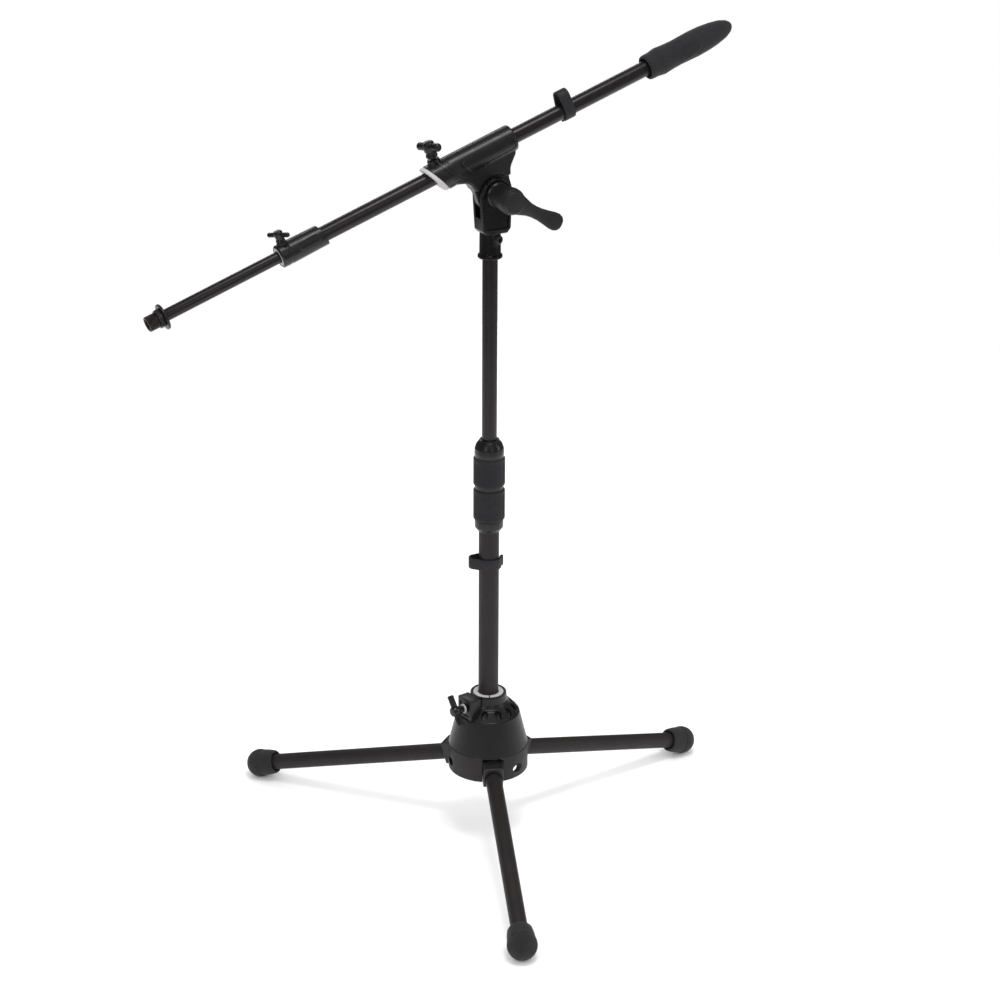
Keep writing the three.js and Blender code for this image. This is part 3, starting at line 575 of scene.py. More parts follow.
CLAMP_AZIMUTH = math.atan2(JOINT["base_knob_turn"]["axis"][1], JOINT["base_knob_turn"]["axis"][0])
LEG_AZIMUTHS = [CLAMP_AZIMUTH + math.pi + TURN * k / 3 for k in range(3)]
SLIT_AZIMUTH = math.radians(-114)
SHOULDER_LOW = (34.0, 142.0)
SHOULDER_HIGH = (22.5, 153.0)
POCKET_STEPS = (-45, -15, 15, 45)


def wrapped(angle):
    return (angle + math.pi) % TURN - math.pi


def beside_legs(angle):
    """Angle to the nearest leg."""
    return min(abs(wrapped(angle - leg)) for leg in LEG_AZIMUTHS)


def shoulder_relief(angle, r, z):
    """Raises a panel over each leg: narrow at its top, wide at its foot."""
    if r < SHOULDER_HIGH[0] or not SHOULDER_LOW[1] - 0.5 < z < SHOULDER_HIGH[1]:
        return r
    up = (z - SHOULDER_LOW[1]) / (SHOULDER_HIGH[1] - SHOULDER_LOW[1])
    half = math.radians(34 - 9 * max(0.0, up))
    side = 1 - smoothstep(beside_legs(angle), half - 0.018, half + 0.018)
    top = 1 - smoothstep(up, 0.84, 0.9)
    foot = smoothstep(up, -0.03, 0.05)
    return r + 1.7 * side * top * foot


def on_shoulder(made, azimuth):
    """Moves a shape made along +Z to stand out of the middle of the shoulder."""
    lean = math.atan2(SHOULDER_LOW[0] - SHOULDER_HIGH[0], SHOULDER_HIGH[1] - SHOULDER_LOW[1])
    radius = (SHOULDER_LOW[0] + SHOULDER_HIGH[0]) / 2
    height = (SHOULDER_LOW[1] + SHOULDER_HIGH[1]) / 2
    tilt = Matrix.Rotation(math.pi / 2 - lean, 4, "Y") @ Matrix.Rotation(math.pi / 2, 4, "Z")
    stand = Matrix.Rotation(azimuth, 4, "Z") @ Matrix.Translation((radius, 0, height)) @ tilt
    return turned_to(made, stand)


def pockets():
    made = []
    for leg in LEG_AZIMUTHS:
        for step in POCKET_STEPS:
            azimuth = leg + math.radians(step)
            if abs(wrapped(azimuth - CLAMP_AZIMUTH)) < math.radians(30):
                continue
            profile = eased([(0, -4), (3.5, -4, 1.2), (3.7, 0.6), (4.3, 1.5), (4.3, 7), (0, 7)])
            pocket = spun("pocket", profile, 32)
            turned_to(pocket, Matrix.Diagonal((1, 1.42, 1, 1)))
            made.append(on_shoulder(pocket, azimuth))
    return made


def base_housing():
    profile = eased([
        (17.1, 165, 0.6),
        (17.0, 133),
        (14.5, 133),
        (14.5, 128),
        (31, 126, 3),
        (40, 103.6, 0.4),
        (43.8, 103.6, 0.4),
        (34.6, 141.0, 0.6),
        (32.8, 142.2, 0.3),
        (22.5, 153, 2.5),
        (20.6, 156, 2),
        (20, 163.6, 0.6),
        (19.6, 165, 0.4),
    ], closed=True)
    shell = spun("housing", dense(profile, 0.9), 216, relief=shoulder_relief)
    outward = Matrix.Rotation(CLAMP_AZIMUTH, 4, "Z")
    block = turned_to(brick("block", (18.5, -12, 141), (33, 12, 164.6), 1.3), outward)
    recess = turned_to(brick("recess", (31.6, -8.5, 144.5), (40, 8.5, 161), 0.8), outward)
    along = Matrix.Rotation(math.pi / 2, 4, "Y")
    drill = turned_to(rod("drill", 3.3, 12, 45, 40),
                      outward @ Matrix.Translation((0, 0, 153)) @ along)
    bore = rod("bore", 17.0, 132.9, 170, 216)
    join(shell, block)
    cut(shell, recess, drill, bore, *pockets())
    place_piece(shell, "base_housing", COLUMN, 34)


def base_skirt():
    ring = spun("skirt", eased([
        (40, 74, 0.5),
        (44, 74, 0.9),
        (44, 102.6, 0.5),
        (43.4, 103.5, 0.3),
        (40, 103.5),
    ], closed=True), 192)
    lugs, slots = [], []
    for leg in LEG_AZIMUTHS:
        outward = Matrix.Rotation(leg, 4, "Z")
        for side in (-1, 1):
            low, high = sorted((side * 11.5, side * 15.5))
            lugs.append(turned_to(brick("lug", (23, low, 76), (40.5, high, 103.2), 0.6), outward))
        slots.append(turned_to(brick("slot", (22, -11.7, 60), (52, 11.7, 102.2), 0.5), outward))
        through = Matrix.Translation((33, 0, 85)) @ Matrix.Rotation(-math.pi / 2, 4, "X")
        steps = [(0, -17), (2.7, -17), (2.7, 15.6), (4.5, 15.6), (4.5, 28), (5.0, 29.6), (5.0, 45),
                 (0, 45)]
        slots.append(turned_to(spun("hole", steps, 40), outward @ through))
    join(ring, *lugs)
    cut(ring, *slots)
    # The skirt takes the lighter copy of the casting finish, painted lighter for the light on its upright side.
    place_piece(ring, "base_skirt", COLUMN, 34, "skirt")


def base_trim():
    slit = brick("slit", (8, -0.6, 130), (20, 0.6, 168))
    turned_to(slit, Matrix.Rotation(SLIT_AZIMUTH, 4, "Z"))
    bushing = spun("bushing", eased([
        (11.25, 133.3), (16.7, 133.3), (16.7, 164.9, 0.7), (11.25, 164.9, 0.7)], closed=True), 128)
    cut(bushing, slit)
    place_piece(bushing, "column_bushing", COLUMN)
    for leg in LEG_AZIMUTHS:
        through = Matrix.Translation((33, 0, 85)) @ Matrix.Rotation(-math.pi / 2, 4, "X")
        pin = spun("pin", eased([
            (0, -15.4), (2.5, -15.4, 0.5), (2.5, 15.4, 0.5), (0, 15.4)]), 40)
        place = COLUMN @ Matrix.Rotation(leg, 4, "Z") @ through
        nearest = min((1, 2, 3), key=lambda n: (place.translation - middle(f"leg_pin_{n}")).length)
        place_piece(pin, f"leg_pin_{nearest}", place)


# ---------------------------------------------------------------- threaded and T-handled screws

def thread_relief(pitch, depth, inner, outer):
    """A helical thread on the surfaces between two radii."""
    def relief(angle, r, z):
        if not inner < r < outer:
            return r
        phase = (z / pitch - angle / TURN) % 1
        return r - depth * (1 - abs(2 * phase - 1))
    return relief


def threaded(node, place, radius, low, high, pitch=1.25):
    points = dense([(radius, low + 0.5), (radius, high - 0.5)], pitch / 5)
    profile = [(0, low), (radius - 0.7, low), *points, (radius - 0.7, high), (0, high)]
    relief = thread_relief(pitch, 0.55, radius - 0.1, radius + 0.1)
    place_piece(spun(node, profile, 40, relief), node, place, 60)


def knurled(start, stop, count, depth):
    """Fine flutes along a bar between two distances."""
    def relief(angle, r, z):
        inside = smoothstep(z, start, start + 0.8) * (1 - smoothstep(z, stop - 0.8, stop))
        return r - depth * inside * (0.5 + 0.5 * math.cos(count * angle)) if r > 2 else r
    return relief


def t_handle(node, place, neck, bar, turn, relief=None):
    """neck: radius and height points of the boss. bar: radius and length points across it."""
    boss = spun("boss", eased(neck), 64)
    cross = spun("bar", dense(eased(bar), 0.8), 72, relief)
    height = max(point[1] for point in neck)
    centre = height - bar_drop(neck)
    lay = Matrix.Translation((0, 0, centre)) @ Matrix.Rotation(math.radians(turn), 4, "Z")
    turned_to(cross, lay @ Matrix.Rotation(math.pi / 2, 4, "Y"))
    join(boss, cross)
    low = min(point[1] for point in neck)
    hole = rod("hole", 3.3, low - 3, centre + 1, 40)
    cut(boss, hole)
    place_piece(boss, node, place, 30)


def bar_drop(neck):
    """Distance from the top of a handle's boss down to the middle of its bar."""
    return max(point[0] for point in neck[-4:]) * 0.98


def hub_screw():
    axis = Vector(JOINT["base_knob_turn"]["axis"])
    height = JOINT["base_knob_turn"]["pos_m"][2]
    place = local_frame((COLUMN_AXIS.x, COLUMN_AXIS.y, height), axis, -UP)
    washer = spun("washer", eased([
        (3.3, 33.3, 0.3), (5.3, 33.3, 0.5), (5.3, 35, 0.5), (3.3, 35, 0.3)], closed=True), 64)
    place_piece(washer, "base_screw_washer", place)
    threaded("base_screw", place, 3, 17.8, 46)
    neck = [(0, 37), (4.3, 37, 0.6), (4.7, 38.5, 0.5), (4.3, 40.5, 1), (5.7, 42.5, 1.2), (6.0, 46, 1.5),
            (5.0, 49.6, 1.5), (0, 50.4)]
    bar = [(0, -18), (3.0, -18, 1.2), (3.7, -16.5, 0.5), (3.5, -15, 0.4), (3.6, 4), (3.9, 6, 0.5),
           (3.9, 16.6, 0.8), (3.1, 18, 1.0), (0, 18)]
    t_handle("base_handle", place, neck, bar, 36, knurled(6, 16.6, 14, 0.5))


def clamp_screw():
    axis = Vector(JOINT["clamp_knob_turn"]["axis"])
    point = Vector(JOINT["clamp_knob_turn"]["pos_m"])
    foot = point - axis * axis.dot(point - BOOM_FOOT)
    place = local_frame(foot, axis, TO_GRIP)
    threaded("clamp_screw", place, 3, 8.3, 34)
    neck = [(0, 20), (5.2, 20, 1.5), (6.2, 22, 1.5), (5.6, 24.6, 1), (4.9, 25.8, 0.8), (6.0, 27.6, 1.5),
            (6.6, 32, 2), (5.8, 37, 1.8), (0, 38.4)]
    bar = [(0, -14.5), (3.0, -14.5, 1.2), (4.0, -13, 0.8), (4.0, -6), (4.2, 5), (4.3, 11, 1.0),
           (4.2, 13, 1.4), (3.0, 14.5, 1.2), (0, 14.5)]
    t_handle("clamp_handle", place, neck, bar, -69, knurled(-13, -5, 16, 0.25))


def telescope_screw():
    axis = Vector(JOINT["telescope_knob_turn"]["axis"])
    point = Vector(JOINT["telescope_knob_turn"]["pos_m"])
    foot = point - axis * axis.dot(point - BOOM_FOOT)
    place = local_frame(foot, axis, TO_GRIP)
    threaded("telescope_screw", place, 3, 6.4, 21)
    neck = [(0, 14.2), (4.9, 14.2, 0.5), (4.6, 16, 0.3), (3.9, 17, 0.6), (4.3, 20, 2), (4.8, 23, 1.5),
            (4.2, 25.4, 1.6), (0, 26)]
    bar = [(0, -13), (1.6, -13, 0.8), (2.5, -11.6, 0.8), (2.6, 0), (2.5, 11.6, 0.8), (1.6, 13, 0.8),
           (0, 13)]
    t_handle("telescope_handle", place, neck, bar, -59, knurled(-12, 12, 10, 0.12))


# ---------------------------------------------------------------- legs

ALONG_PLATE = Matrix.Rotation(math.pi / 2, 4, "X")  # an outline's Y becomes Z


def leg_root(number):
    place = leg_frame(number)
    outline = eased([
        (11, 17, 1.2), (11, 0), *arc(0, 0, 11, 0, -150, 24)[1:], (-14.6, 2.5, 2.5), (-14.6, 17, 1.4)],
        closed=True)
    block = turned_to(slab("root", outline, -11, 11, 0.9), ALONG_PLATE)
    socket = spun("socket", [(0, 4.5), (9.3, 4.5), (9.3, 15.6), (9.9, 16.4), (9.9, 22), (0, 22)], 96)
    hole = turned_to(rod("hole", 2.8, -15, 15, 40), ALONG_PLATE)
    window = brick("window", (8.5, -7.2, 3), (14, 7.2, 22), 1.2)
    crown = brick("crown", (-16, -8.8, 4), (-13.8, 8.8, 15.2), 0.5)
    cut(block, socket, hole, window, crown)
    place_piece(block, f"leg_root_{number}", place, 32)


def foot(number):
    place = leg_frame(number)
    low, high = span(f"foot_{number}", place)
    start, tip = low.z, high.z
    centre = tip - 16
    dome = [(16 * math.cos(a), centre + 16 * math.sin(a))
            for a in (math.radians(-10 + 100 * k / 44) for k in range(44))]
    edge = dome[0][1]
    profile = eased([
        (0, centre - 4.6), (9.3, centre - 4.6), (9.3, start + 3.5, 0.6), (10.9, start + 2.2, 0.5),
        (11.0, start, 0.5), (12.4, start, 0.9), (13.4, start + 1.6, 1.2), (14.5, start + 8, 6),
        (15.2, edge - 1.6, 0.5), (14.7, edge - 1.0, 0.2)])
    profile += dome + [(0, tip)]

    def ribs(angle, r, z):
        if z < edge or r < 1:
            return r
        depth = 0.5 * smoothstep(z, edge + 0.3, edge + 1.6) * smoothstep(r, 2.5, 8)
        return r - depth * (0.5 - 0.5 * math.cos(38 * angle)) ** 2

    place_piece(spun("foot", profile, 228, ribs), f"foot_{number}", place, 50)


# ---------------------------------------------------------------- clutch and cable clips

def grip_band(node, low, high):
    """A rubber sleeve with fine upright ribs in six panels and smooth rims."""
    def ribs(angle, r, z):
        if r < 16.5:
            return r
        panel = smoothstep(abs(math.sin(3 * angle + 0.4)), 0.12, 0.2)
        inside = smoothstep(z, low + 3.4, low + 4.4) * (1 - smoothstep(z, high - 4.4, high - 3.4))
        return r - 0.4 * panel * inside * (0.55 + 0.45 * math.cos(72 * angle))

    outside = eased([(16, low, 0.5), (17, low + 1.6, 1.4), (17, high - 1.6, 1.4), (16, high, 0.5)])
    profile = [(14.5, low), *dense(outside, 1.4), (14.5, high)]
    place_piece(spun(node, profile, 432, ribs), node, COLUMN, 50)


def clutch():
    body = spun("body", eased([
        (11.25, 357, 0.3), (12.2, 357, 0.5), (12.7, 358.8, 0.4), (13.6, 359.4, 0.5), (15.4, 361.8, 1),
        (15.4, 370.2, 0.4), (14, 370.5), (14, 405.5), (12.6, 405.5), (12.6, 436), (11.25, 436)],
        closed=True), 128)
    place_piece(body, "clutch_body", COLUMN)
    grip_band("clutch_lower_grip", 370.8, 405.5)
    nut = spun("nut", dense(eased([
        (12.9, 406), (15.2, 406, 0.4), (15.2, 409.7), (14.2, 409.7), (14.2, 442), (15.6, 442.2, 0.4),
        (15.9, 447, 3), (15.6, 452, 4), (13.9, 456.6, 4), (11.7, 459.4, 2), (10.9, 460.2, 0.3),
        (10.7, 461.5, 0.4), (8.25, 461.5, 0.3), (8.25, 455.5), (11.3, 450.5), (12.9, 437)],
        closed=True), 1.5), 128)
    place_piece(nut, "clutch_nut", COLUMN, 50)
    grip_band("clutch_upper_grip", 410, 441.7)


def clip_band(tube_radius):
    """A sprung band round a tube, open on one side, with a loop that bulges towards -X."""
    around, loop, reach = tube_radius + 1.4, 6.75, 14.1
    lean = math.degrees(math.pi - math.acos((around - loop) / reach))
    start = [(around + 2.6, 4.6), (around + 1.2, 3.0), (around + 0.2, 1.3)]
    line = start + arc(0, 0, around, 0, -lean, 30) + arc(-reach, 0, loop, -lean, lean - 360, 28)
    line += arc(0, 0, around, lean, 60, 14)
    outer, inner = [], []
    for i, here in enumerate(line):
        before, after = Vector(line[max(0, i - 1)]), Vector(line[min(len(line) - 1, i + 1)])
        way = (after - before).normalized()
        side = Vector((-way.y, way.x)) * 1.15
        outer.append(tuple(Vector(here) + side))
        inner.append(tuple(Vector(here) - side))
    return outer + inner[::-1]


def cable_clip(node, place, tube_radius):
    band = slab(node, clip_band(tube_radius), 0, 12, 0.55)
    inner = tube_radius + 0.25
    nibs = []
    for side in (-1, 1):
        nib = spun("nib", eased([(0, 0.1), (1.6, 0.1, 0.4), (1.6, 11.9, 0.4), (0, 11.9)]), 32)
        beside = (-inner * 0.62, side * (inner * 0.78 + 1.75), 0)
        nibs.append(turned_to(nib, Matrix.Translation(beside)))
    bore = rod("bore", inner, -1, 13, 96)
    join(band, *nibs)
    cut(band, bore)
    place_piece(band, node, place, 40)


def cable_clips():
    turn = Matrix.Rotation(math.radians(155 + 180), 4, "Z")
    low = span("column_cable_clip", COLUMN)[0].z
    cable_clip("column_cable_clip", COLUMN @ turn @ Matrix.Translation((0, 0, low)), 11)
    low = span("boom_cable_clip", BOOM_LINE)[0].z
    cable_clip("boom_cable_clip", BOOM_LINE @ Matrix.Translation((0, 0, low)), 8)


# ---------------------------------------------------------------- swivel head

MAST_OFFSET = -3  # the mast's axis, measured from the pivot along X
SET_SCREW_OUT = Matrix.Translation((MAST_OFFSET, 0, -47)) @ Matrix.Rotation(math.radians(-78), 4, "Z")


def swivel_body():
    outline = eased([
        *arc(0, 0, 17, 0, 142, 40), (-18.7, -2, 5), (-16.2, -38, 3), (-13, -42, 3), (12, -42, 3),
        (16, -37, 3)], closed=True)
    fork = turned_to(slab("fork", outline, -10.6, 10.6, 1.7, 4), ALONG_PLATE)
    sleeve = turned_to(spun("sleeve", eased([
        (0, -68.5), (12.2, -68.5, 0.6), (12.9, -67.6, 0.6), (12.9, -65.4, 0.6), (11.2, -63.6, 1.2),
        (11, -40), (0, -40)]), 96), Matrix.Translation((MAST_OFFSET, 0, 0)))
    panel = eased([*arc(0, 0, 14.7, 0, 145, 30), (-14.2, -3, 4), (-13.2, -36.6, 2),
                   (12.2, -36.6, 2)], closed=True)
    recesses = []
    for low, high in ((9.6, 14), (-14, -9.6)):
        recess = turned_to(slab("recess", panel, low, high), ALONG_PLATE)
        seat = rod("seat", 13.3, -20, 20, 96)
        recesses.append(cut(recess, turned_to(seat, ALONG_PLATE)))
    slot = brick("slot", (-40, -5.5, -25), (40, 5.5, 40))
    bolt = turned_to(rod("bolt", 3.3, -20, 20, 40), ALONG_PLATE)
    bore = turned_to(rod("bore", 8.2, -70, -35.7, 72),
                     Matrix.Translation((MAST_OFFSET, 0, 0)))
    hole = turned_to(rod("hole", 2.6, 4, 20, 32),
                     SET_SCREW_OUT @ Matrix.Rotation(math.pi / 2, 4, "Y"))
    join(fork, sleeve)
    cut(fork, *recesses, slot, bolt, bore, hole)
    # The swivel body takes the fork finish: painted shade in its darker base, painted highlight on its rims.
    place_piece(fork, "swivel_body", SWIVEL, 32, "fork")


def set_screw():
    screw = spun("screw", eased([
        (0, 8.5), (2.4, 8.5), (2.4, 11.3), (4.8, 11.3, 0.3), (4.8, 14.4, 0.8), (3.8, 15.4, 0.4),
        (2.2, 15.4), (2.2, 13.4), (0, 13.4)]), 48)
    outwards = SET_SCREW_OUT @ Matrix.Rotation(math.pi / 2, 4, "Y")
    place_piece(screw, "swivel_set_screw", SWIVEL @ outwards)


def pivot_hardware():
    washer = spun("washer", eased([
        (3.3, 10.9, 0.3), (13, 10.9, 0.5), (13, 12.6, 0.6), (11.6, 14, 0.6), (3.3, 14)],
        closed=True), 96)
    place_piece(washer, "pivot_washer", PIVOT)
    tip = span("pivot_bolt", PIVOT)[1].z
    top, seat = -15.6, -10.9
    head = hexagon("head", 6.5, top, seat)
    chamfer = spun("chamfer", [(0, top), (5.4, top), (6.6, top + 0.8), (6.6, seat), (0, seat)], 64)
    common(head, chamfer)
    shank = spun("shank", eased([(0, -14), (3, -14), (3, tip, 0.5), (0, tip)]), 40)
    join(head, shank)
    place_piece(head, "pivot_bolt", PIVOT, 30)


def lever_arm():
    """Rings of points along the arm, from the head to the paddle at its end."""
    rings = []
    stations = [(-2, 11.6, 4.6, 43.6), (6, 11.2, 4.6, 43.4), (13, 9.2, 4.4, 42.6), (20, 7.3, 4.2, 41.6),
                (28, 6.4, 3.9, 41.0), (36, 6.6, 3.5, 41.2), (44, 7.8, 3.1, 42.2), (51, 9.2, 2.8, 43.4),
                (56, 9.4, 2.5, 44.2), (60, 7.8, 2.1, 44.8), (62.3, 5.0, 1.5, 45.2),
                (63, 2.0, 0.8, 45.3)]
    for along, half, thick, height in stations:
        ring = []
        for k in range(40):
            a = TURN * k / 40
            c, d = math.cos(a), math.sin(a)
            wide = math.copysign(abs(c) ** 0.75, c) * half
            deep = math.copysign(abs(d) ** 0.75, d) * thick
            ring.append((along, wide, height + deep))
        rings.append(ring)
    return rings


def lever():
    barrel = spun("barrel", dense(eased([
        (0, 14.3), (12.2, 14.3, 0.8), (12.2, 20, 6), (13.2, 29, 8), (14.1, 36, 5), (13.8, 42, 5),
        (11.0, 48.3, 1.6), (0, 49.4)]), 1.2), 96)
    arm = turned_to(lofted("arm", lever_arm()), Matrix.Rotation(math.radians(-28.6), 4, "Z"))
    heap(barrel, arm)
    cast(barrel, 0.6, 5)
    hole = rod("hole", 3.3, 12, 35.3, 40)
    cut(barrel, hole)
    place_piece(barrel, "pivot_lever", PIVOT, 45)


# ---------------------------------------------------------------- boom clamp

AXIS_UP = 45.0  # boom axis above the pivot, in the clamp's frame
SLANT = math.radians(28.5)
ALONG_BOOM = Matrix.Translation((0, 0, AXIS_UP)) @ Matrix.Rotation(math.pi / 2, 4, "Y")
LIP_START, LIP_END = -60.0, -54.5  # the liner's lip along the boom
CLAMP_BOLT = -51.0  # the clamp screw's place along the boom


def slanted(x, low, high):
    """Everything between two planes that lie across the boom at the clamp's slant."""
    wall = brick("slant", (low, -40, -60), (high, 40, 60))
    return turned_to(wall, Matrix.Translation((x, 0, AXIS_UP)) @ Matrix.Rotation(-SLANT, 4, "Y"))


def side_field(side, inset, inner, outer):
    """Part of a shell round the boom, as long as the clamp's side pad and slanted at its front."""
    high = 7.9 - inset
    outline = eased([(-31 + inset * 1.6, side * high, 3), (-21.5 + inset * 1.6, side * -high, 3),
                     (34.5 - inset, side * -high, 3), (34.5 - inset, side * high, 3)], closed=True)
    field = slab("field", outline, 6, 24)
    turned_to(field, Matrix.Translation((0, 0, AXIS_UP)) @ Matrix.Rotation(side * math.pi / 2, 4, "X"))
    shell = spun("shell", [(inner, -60), (outer, -60), (outer, 60), (inner, 60)], 128)
    return common(field, turned_to(shell, ALONG_BOOM))


def side_pad(side):
    """A long pad on the side of the clamp, with a thin raised rim."""
    pad = side_field(side, 0, 11, 15.3)
    rounding(pad, 0.3, 2, 40)
    return cut(pad, side_field(side, 1.1, 14.75, 20))


def boom_clamp():
    sleeve = turned_to(spun("sleeve", eased([
        (0, -60), (14, -60), (14, 37.2, 1.2), (12.8, 38, 0.6), (0, 38)]), 128), ALONG_BOOM)
    taper = eased([(0, -84), (16, -84), (16, -42, 16), (13, -20), (0, -20)])
    nose = turned_to(spun("nose", taper, 128),
                     Matrix.Translation((0, 0, -2)) @ ALONG_BOOM)
    web = eased([
        (20.5, 0), (20.8, 9, 10), (24, 20, 12), (34.5, 31, 5), (35, 41), (-56, 41), (-56, 33, 6),
        (-40, 30, 18), (-24, 24, 12), (-20.5, 9, 10), *arc(0, 0, 20.5, 180, 360, 40)[:-1]], closed=True)
    tongue = turned_to(slab("tongue", web, -4.3, 4.3, 0.5), ALONG_PLATE)
    neck = turned_to(slab("neck", web, -9.5, 9.5, 2.4), ALONG_PLATE)
    round_clear = turned_to(rod("clear", 21, -20, 20, 96), ALONG_PLATE)
    cut(neck, brick("below", (-70, -20, -30), (70, 20, 13)), round_clear)
    boss = turned_to(spun("boss", eased([
        (0, AXIS_UP + 8), (7.4, AXIS_UP + 8), (6.6, AXIS_UP + 16.4, 1.5), (6.4, AXIS_UP + 18.5, 0.8),
        (0, AXIS_UP + 18.5)]), 64), Matrix.Translation((CLAMP_BOLT, 0, 0)))
    heap(sleeve, nose, tongue, neck, boss)
    cast(sleeve, 0.65, 4)
    cut(sleeve, slanted(LIP_END, -60, 0))
    pads = [side_pad(side) for side in (-1, 1)]
    join(sleeve, *pads)
    bore = turned_to(rod("bore", 9.6, -95, 60, 96), ALONG_BOOM)
    drill = turned_to(rod("drill", 3.4, AXIS_UP, AXIS_UP + 40, 40),
                      Matrix.Translation((CLAMP_BOLT, 0, 0)))
    bolt = turned_to(rod("bolt", 3.3, -20, 20, 40), ALONG_PLATE)
    grooves = []
    for x in (-38.5, -43.5):
        band = slanted(x, -0.55, 0.55)
        skin = turned_to(spun("skin", [(15.5, -90), (22, -90), (22, 0), (15.5, 0)], 96),
                         Matrix.Translation((0, 0, -2)) @ ALONG_BOOM)
        upper = brick("upper", (-90, -30, AXIS_UP - 6), (0, 30, 80))
        grooves.append(common(band, skin, upper))
    cut(sleeve, bore, drill, bolt, *grooves)
    place_piece(sleeve, "boom_clamp", CLAMP, 38)


def boom_liner():
    collar = turned_to(rod("collar", 15.5, -90, -30, 128),
                       Matrix.Translation((0, 0, -2)) @ ALONG_BOOM)
    thickness = (LIP_END - LIP_START) * math.cos(SLANT)
    common(collar, slanted(LIP_START, 0, thickness - 0.2))
    rounding(collar, 1.5, 4, 50)
    barrel = turned_to(rod("barrel", 9.3, -70, 38, 96), ALONG_BOOM)
    cut(barrel, slanted(LIP_START + 0.8, -80, 0))
    join(collar, barrel)
    bore = turned_to(rod("bore", 8.3, -95, 60, 96), ALONG_BOOM)
    drill = turned_to(rod("drill", 3.4, AXIS_UP, AXIS_UP + 40, 40),
                      Matrix.Translation((CLAMP_BOLT, 0, 0)))
    cut(collar, bore, drill)
    place_piece(collar, "boom_clamp_liner", CLAMP, 40)


# ---------------------------------------------------------------- telescope sleeve

PANEL_ANGLE = math.radians(-112)  # the side of the boom with the badge and the grip's swirls
SLEEVE_BOLT = -231.0  # the screw's place along the boom
SLEEVE_END = -188.5
SLEEVE_SLANT = math.radians(14)


def telescope_sleeve():
    front, rear = -239.0, -185.0

    def badge(angle, r, z):
        if r < 10.5:
            return r
        across = wrapped(angle - PANEL_ANGLE) * r
        along = max(0.0, abs(z + 206.5) - 8.8)
        edge = math.hypot(along, across)
        raised = 0.55 * (1 - smoothstep(edge, 3.9, 4.4)) - 0.3 * (1 - smoothstep(edge, 2.9, 3.3))
        hollow = 0.25 * smoothstep(z, -231, -229.5) * (1 - smoothstep(z, -228, -226.5))
        return r + raised - hollow

    outside = eased([(10.0, front, 0.4), (11.8, front + 1.2, 1.0), (11.9, front + 12), (11.2, rear, 0)])
    profile = [(6.3, front + 2), (10.0, front + 2), *dense(outside, 0.5), (8.25, rear),
               (8.25, -223.3), (6.3, -223.3)]
    shell = spun("sleeve", profile, 200, badge)
    turned_to(shell, ALONG_BOOM)
    seat = hexagon("seat", 5.5, AXIS_UP + 9, AXIS_UP + 13.6, 0.5)
    turned_to(seat, Matrix.Translation((SLEEVE_BOLT, 0, 0)))
    hole = turned_to(rod("hole", 3.3, AXIS_UP, AXIS_UP + 25, 40),
                     Matrix.Translation((SLEEVE_BOLT, 0, 0)))
    end = brick("end", (0, -30, -30), (20, 30, 30))
    lean = Matrix.Rotation(-SLEEVE_SLANT, 4, "Y")
    turned_to(end, Matrix.Translation((SLEEVE_END, 0, AXIS_UP)) @ lean)
    join(shell, seat)
    cut(shell, hole, end)
    place_piece(shell, "telescope_sleeve", CLAMP, 40)
    ring = spun("ring", eased([
        (6.4, -238.6, 0.3), (9.7, -238.6, 0.3), (9.7, -237.3), (6.4, -237.3)], closed=True), 96)
    place_piece(ring, "telescope_sleeve_ring", BOOM_LINE)


# ---------------------------------------------------------------- microphone end

def mic_end():
    stud = spun("stud", eased([
        (0, -385), (4.1, -385, 0.3), (4.7, -384, 0.3), (4.7, -371), (13.0, -371, 0.5),
        (13.3, -370.5, 0.3), (13.3, -368.8, 0.5), (12.7, -368.3, 0.4), (4.7, -368.3),
        (4.7, -355, 0.4), (0, -355)]), 128)
    place_piece(stud, "mic_end_stud", BOOM_LINE)
    outer, seat = -376.2, -371.3
    nut = hexagon("nut", 10.4, outer, seat)
    chamfer = spun("chamfer", [(0, outer), (9.1, outer), (10.6, outer + 1), (10.6, seat - 0.9),
                               (9.3, seat), (0, seat)], 96)
    hole = rod("hole", 5, -380, -365, 64)
    common(nut, chamfer)
    cut(nut, hole)
    rounding(nut, 0.25, 2, 25)
    place_piece(nut, "mic_lock_nut", BOOM_LINE, 25)
    outside = dense([(7.94, -386.8), (7.94, -377.2)], 0.94 / 6)
    inside = dense([(5.45, -376.6), (5.45, -386.6)], 0.25)
    profile = [(7.3, -387.5), *outside, (7.4, -376.5), (5.45, -376.5), *inside, (6.1, -387.5)]

    def threads(angle, r, z):
        if r > 7.9:
            return thread_relief(0.94, 0.5, 7.9, 8.0)(angle, r, z)
        return r

    adapter = spun("adapter", profile, 96, threads)
    place_piece(adapter, "mic_thread_adapter", BOOM_LINE, 60)


# ---------------------------------------------------------------- boom grip

SWOOSH = [
    [(10, -12), (22, 2), (34, 22), (45, 26), (56, 4), (66, -10), (78, -17), (84, -18)],
    [(30, 44), (44, 40), (54, 24), (64, 4), (74, -6), (86, -9), (92, -9)],
]


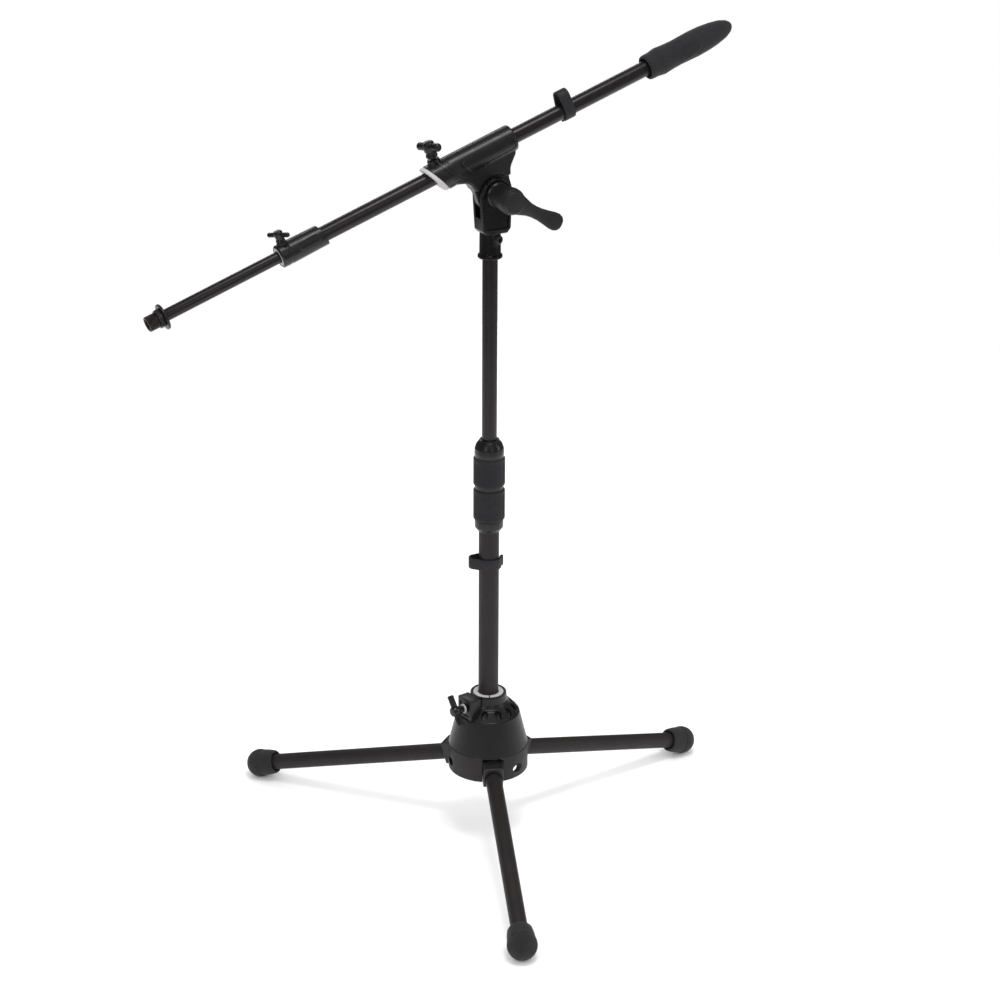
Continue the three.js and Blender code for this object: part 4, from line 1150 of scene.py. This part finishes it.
def swoosh_angle(line, z):
    """The angle of a curved groove at height z, or None beyond its ends."""
    if z < line[0][0] or z > line[-1][0]:
        return None
    for (z0, a0), (z1, a1) in zip(line, line[1:]):
        if z <= z1:
            t = (z - z0) / (z1 - z0)
            return PANEL_ANGLE + math.radians(a0 + (a1 - a0) * t * t * (3 - 2 * t))
    return None


def grip_relief(angle, r, z):
    if r < 11.2 or z < 1:
        return r
    for line in SWOOSH:
        groove = swoosh_angle(line, z)
        if groove is None:
            continue
        start, end = line[0][0], line[-1][0]
        fade = smoothstep(z, start, start + 8) * (1 - smoothstep(z, end - 8, end))
        across = wrapped(angle - groove) * r
        r -= 0.45 * fade * math.exp(-((across / 0.9) ** 2))
        r += 0.35 * fade * math.exp(-(((across - 3.4) / 2.4) ** 2))
    return r


def boom_grip():
    low = span("boom_grip", BOOM_LINE)[0]
    bore = 94.3
    outside = eased([
        (11.0, 0, 0.5), (12.8, 0, 0.9), (13.3, 2.5, 2), (13.4, 9, 8), (14.7, 17.5, 9), (13.8, 27, 12),
        (13.4, 38, 14), (14.1, 61, 20), (13.6, 74, 16), (12.3, 86, 14), (10.1, 97.5, 12), (7.0, 105, 7),
        (3.4, 109, 4), (0, 109.8)], steps=6)
    profile = [(0, bore), (8.25, bore), (8.25, 7), (10.9, 6), *dense(outside, 0.9)]
    grip = spun("grip", profile, 160, grip_relief)
    place_piece(grip, "boom_grip", BOOM_LINE @ Matrix.Translation((0, 0, low.z)), 60)


# ---------------------------------------------------------------- carried-over nodes

def carried_over():
    """CAD nodes that still show keep their shape and get the finish of their slot."""
    for name, shown in frame["nodes"].items():
        if shown.hide_render:
            continue
        for slot in shown.material_slots:
            slot.material = FINISH[SLOT_OF[name]]


# ---------------------------------------------------------------- scene

aim_camera()
studio()
floor()
tubes()
base_housing()
base_skirt()
base_trim()
hub_screw()
for number in (1, 2, 3):
    leg_root(number)
    foot(number)
clutch()
cable_clips()
swivel_body()
set_screw()
pivot_hardware()
lever()
boom_clamp()
boom_liner()
clamp_screw()
telescope_sleeve()
telescope_screw()
mic_end()
boom_grip()
carried_over()
